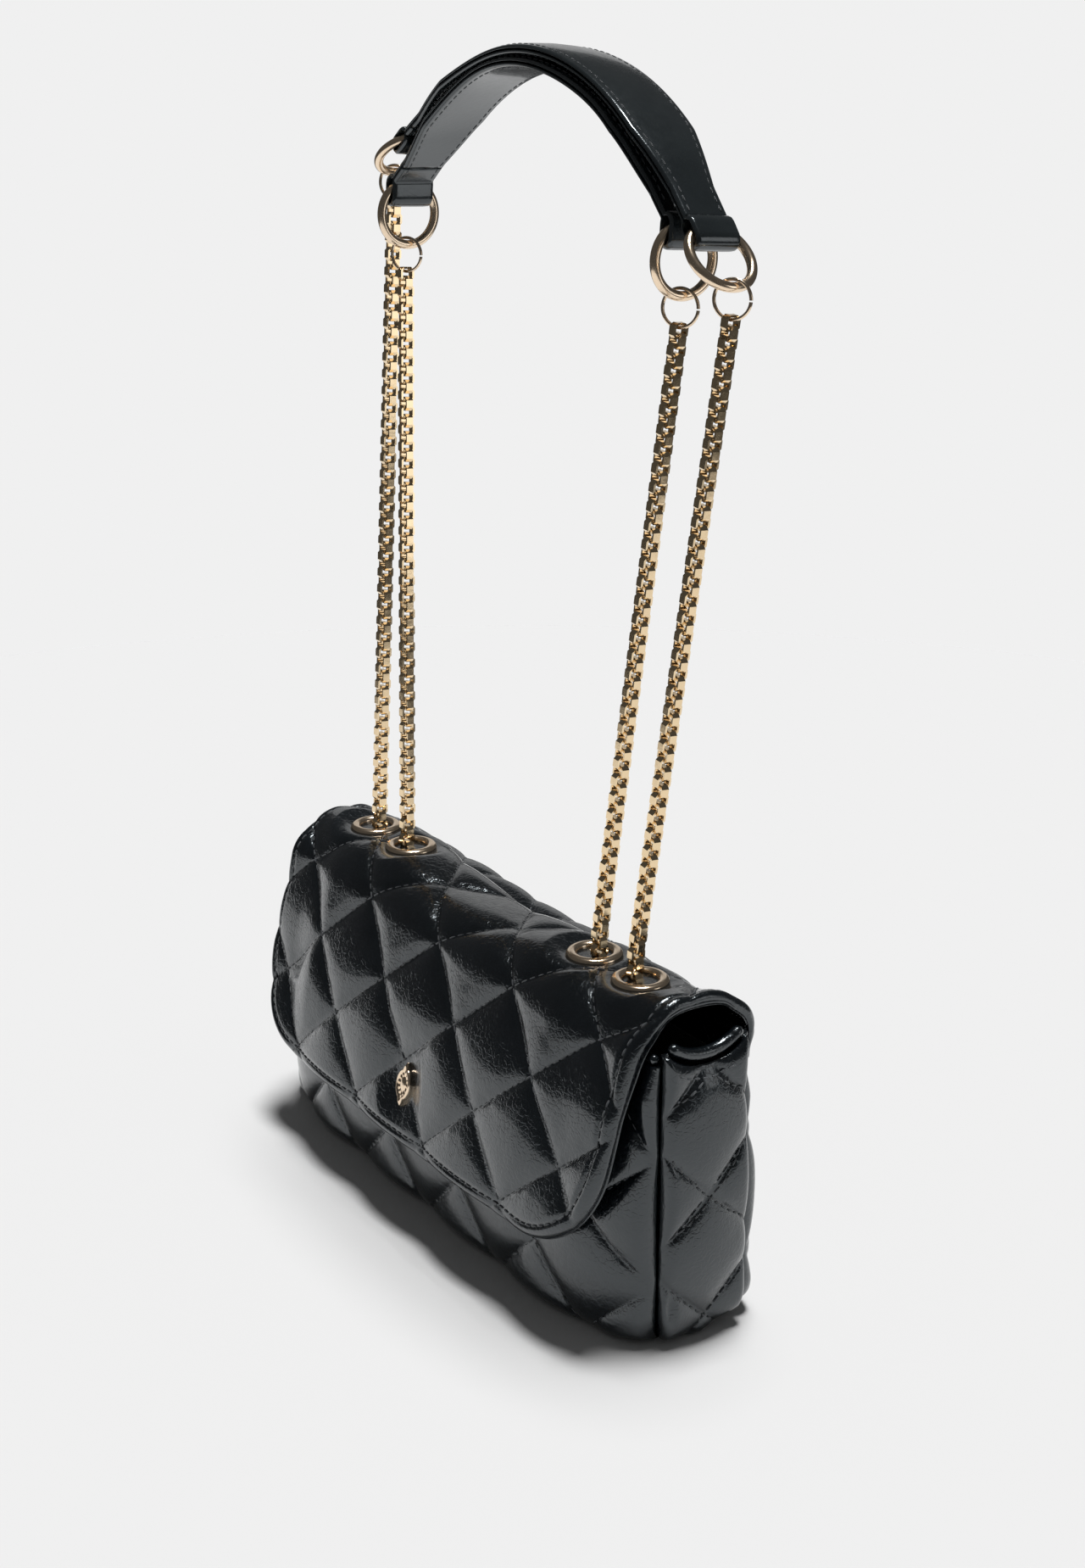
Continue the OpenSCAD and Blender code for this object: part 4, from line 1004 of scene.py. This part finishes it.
def pad_strip(name, path, place, reach, thick, crown, finish, joint):
    """joint is the side on which the strip meets the other one, -1 below or 1 above."""
    path = np.array(path)
    length = run_lengths(path)
    def surface(u, v):
        at = v * length[-1]
        px, pz = (np.interp(at, length, path[:, k]) for k in (0, 1))
        qx, qz = (np.interp(at + 0.4 * mm, length, path[:, k]) - np.interp(at - 0.4 * mm, length, path[:, k])
                  for k in (0, 1))
        size = np.hypot(qx, qz) + 1e-12
        nx, nz = -qz / size, qx / size
        half = pad_width(px, reach)
        a = u * 2 * math.pi
        c, q = np.cos(a), np.sin(a)
        y = np.sign(c) * np.abs(c) ** 0.3 * half
        up = np.sign(q) * np.abs(q) ** 0.35 * thick / 2
        out = np.clip(0.5 - up * joint / thick, 0, 1)
        y = y - np.sign(y) * 1.5 * mm * (1 - np.sqrt(1 - out ** 2 * 0.99)) * (np.abs(y) / half) ** 12
        across = np.abs(y) / half
        on_arch = np.interp(np.abs(px), [reach * 0.8, reach * 0.95], [1, 0])
        up = up + crown * np.clip(1 - (across / 0.86) ** 2, 0, 1) * (q > 0) * on_arch
        return place(px + nx * up, y, pz + nz * up), None
    piece = leather_sheet(name, 64, int(length[-1] / (1.1 * mm)), surface, 0, finish)
    close_up()
    return piece


def outer_place(x, y, z):
    slip = math.radians(5.5)
    z = z - 1.2 * mm * arch_share(x) - 2.0 * mm * np.exp(-((x + 52 * mm) / (24 * mm)) ** 2)
    slipped_x = 2.5 * mm + x * math.cos(slip) + z * math.sin(slip)
    return in_plane(slipped_x, y, arch_centre + z * math.cos(slip) - x * math.sin(slip))


def inner_place(x, y, z):
    left = np.exp(-((x + 52 * mm) / (24 * mm)) ** 2)
    right = np.exp(-((x - 54 * mm) / (20 * mm)) ** 2)
    wider = 1 + 1.6 * mm * right / inner_radius
    z = z * wider - 1.2 * mm * arch_share(x) - left * (2.2 * mm - 0.13 * y)
    return in_plane(x * wider, y, inner_centre + z)


def arch_share(x):
    """1 at the top of a pad's arch and 0 at its loops."""
    return np.clip(1 - (x / (84 * mm)) ** 4, 0, 1) ** 1.3


pads = {
    "outer": (outer_radius, math.radians(41.6), outer_place, math.radians(5.5 - 52), math.radians(5.5 + 42),
              0.7 * mm),
    "inner": (inner_radius, math.radians(43.3), inner_place, 0.0, 0.0, 0.3 * mm),
}
for which, (radius, arch_half, place, left_swing, right_swing, crown) in pads.items():
    straight = pad_half - radius * arch_half
    reach = radius * math.sin(arch_half) + straight * math.cos(arch_half)
    path = pad_path(radius, arch_half, left_swing, right_swing)
    thick = ply - 0.1 * mm
    strip = pad_strip(f"{which}_pad_strip", path, place, reach, thick, crown, strap_leather, -1)
    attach(strip, f"{which}_handle")
    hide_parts(f"{which}_pad")
    level = radius - ply / 2 - 0.05 * mm
    under = [level * np.array([math.sin(t), math.cos(t)]) for t in np.linspace(-arch_half, arch_half, 60)]
    end_turn = np.array([math.cos(arch_half), -math.sin(arch_half)]) * straight * 0.6
    first = np.array([under[0][0] - end_turn[0], under[0][1] + end_turn[1]])
    under = [first] + under + [under[-1] + end_turn]
    back = pad_strip(f"{which}_pad_backing", under, place, reach, thick, 0.0, strap_leather, 1)
    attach(back, f"{which}_handle")
    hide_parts(f"{which}_pad_lining")
    seams = []
    for side in (1, -1):
        for level, face in ((ply, 1), (-ply, -1)):
            t = np.linspace(-1, 1, 260)
            on_arch = arch_half * radius
            run = t * (on_arch + straight * 0.86)
            angle = np.clip(run / radius, -arch_half, arch_half)
            extra = run - angle * radius
            px = (radius + level) * np.sin(angle) + extra * np.cos(arch_half)
            pz = (radius + level) * np.cos(angle) - np.abs(extra) * np.sin(arch_half)
            y = side * (pad_width(px, reach) - 2.4 * mm)
            nx, nz = np.sin(angle) * face, np.cos(angle) * face
            origin = place(px, y, pz)
            ahead = place(px + nx, y, pz + nz)
            seams.append((origin, ahead - origin))
    for end in (0, -1):
        across = np.linspace(1, -1, 60) * y[end] * 0.9
        level = np.full(60, pz[end] + 2 * ply * np.cos(arch_half))
        origin = place(np.full(60, px[end] + 2 * ply * nx[end] * face), across, level)
        seams.append((origin, stack(np.full(60, -nx[end]), np.zeros(60), np.full(60, -nz[end]))))
    thread = sew(f"{which}_pad_thread", seams, 2.6 * mm, 0.9 * mm, 0.26 * mm, sink=0.1)
    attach(thread, f"{which}_handle")
print("pads", list(pads))

# %% [markdown]
# ## Eyelets and the oval rosette
# An eyelet is one profile turned round its bore: a rounded flange on the leather and a barrel
# down through it. A grid is closed into a ring, one way along the profile, the other way round.
# The rosette is a disc whose height follows rings and petals. It is plain: nothing is written on it.


# %% A grid closed round an axis
def turned_piece(name, around, along, surface, finish):
    piece = leather_sheet(name, around, along, surface, 0, finish)
    close_up(apart=0.000005, fill=False)
    return piece


# %% Four eyelets
eyelet_low = 111.6 * mm
eyelet_profile = [(6.3 * mm, eyelet_low), (6.0 * mm, eyelet_low + 0.4 * mm), (6.0 * mm, 116.6 * mm)]
for t in np.linspace(math.pi, -0.15, 18):
    eyelet_profile.append((7.9 * mm + 1.9 * mm * math.cos(t), 117.25 * mm + 1.5 * mm * math.sin(t)))
eyelet_profile = np.array(eyelet_profile)
for number, (ex, ey) in enumerate(eyelets, 1):
    def eyelet_surface(u, v):
        at = v * (len(eyelet_profile) - 1)
        radius = np.interp(at, np.arange(len(eyelet_profile)), eyelet_profile[:, 0])
        height = np.interp(at, np.arange(len(eyelet_profile)), eyelet_profile[:, 1])
        a = u * 2 * math.pi
        return stack(ex + radius * np.cos(a), ey + radius * np.sin(a), height), None
    piece = turned_piece(f"eyelet_ring_{number}", 72, len(eyelet_profile) - 1, eyelet_surface, ring_gold)
    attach(piece, "flap")
    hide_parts(f"eyelet_{number}")
print("eyelets", len(eyelets))


# %% Rosette
def rosette_surface(u, v):
    a = u * 2 * math.pi
    edge = v > 0.93
    radius = np.minimum(v / 0.93, 1.0)
    wave = 0.5 + 0.5 * np.cos(12 * a)
    rim = np.exp(-((radius - 0.88) / 0.09) ** 2)
    boss = np.sqrt(np.clip(1 - (radius / 0.42) ** 2, 0, 1))
    petals = wave * np.exp(-((radius - 0.62) / 0.13) ** 2)
    height = (0.95 + 0.75 * rim + 0.8 * boss + 0.45 * petals) * mm
    height = np.where(edge, height * (1 - v) / 0.07, height)
    lobe = 2.3 * mm * np.clip(np.abs(np.sin(a)) - 0.955, 0, 1) / 0.045
    x = 4.2 * mm * radius * np.cos(a)
    up = (5.9 * mm * radius + lobe * radius ** 3) * np.sin(a)
    y, z, ny, nz = flap_section(np.array([snap_s]))
    out = height + 0.05 * mm
    return stack(x, y + up * math.sin(slope) + ny * out, z + up * math.cos(slope) + nz * out), None


rosette = turned_piece("oval_rosette", 144, 30, rosette_surface, ring_gold)
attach(rosette, "flap")
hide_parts("ornament")

# %% [markdown]
# ## Metal
# Chain links, rings, washers and the snap come from the model as they are and get the plating.

# %% Plating on the model's metal, board on the model's base board
for name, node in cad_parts.items():
    if any(word in name for word in ("chain", "links")):
        finish = chain_gold
    elif any(word in name for word in ("eyelet", "snap", "ornament", "ring_left", "ring_right")):
        finish = ring_gold
    elif name == "base_board":
        finish = base_board_finish
    else:
        continue
    node.data.materials.clear()
    node.data.materials.append(finish)
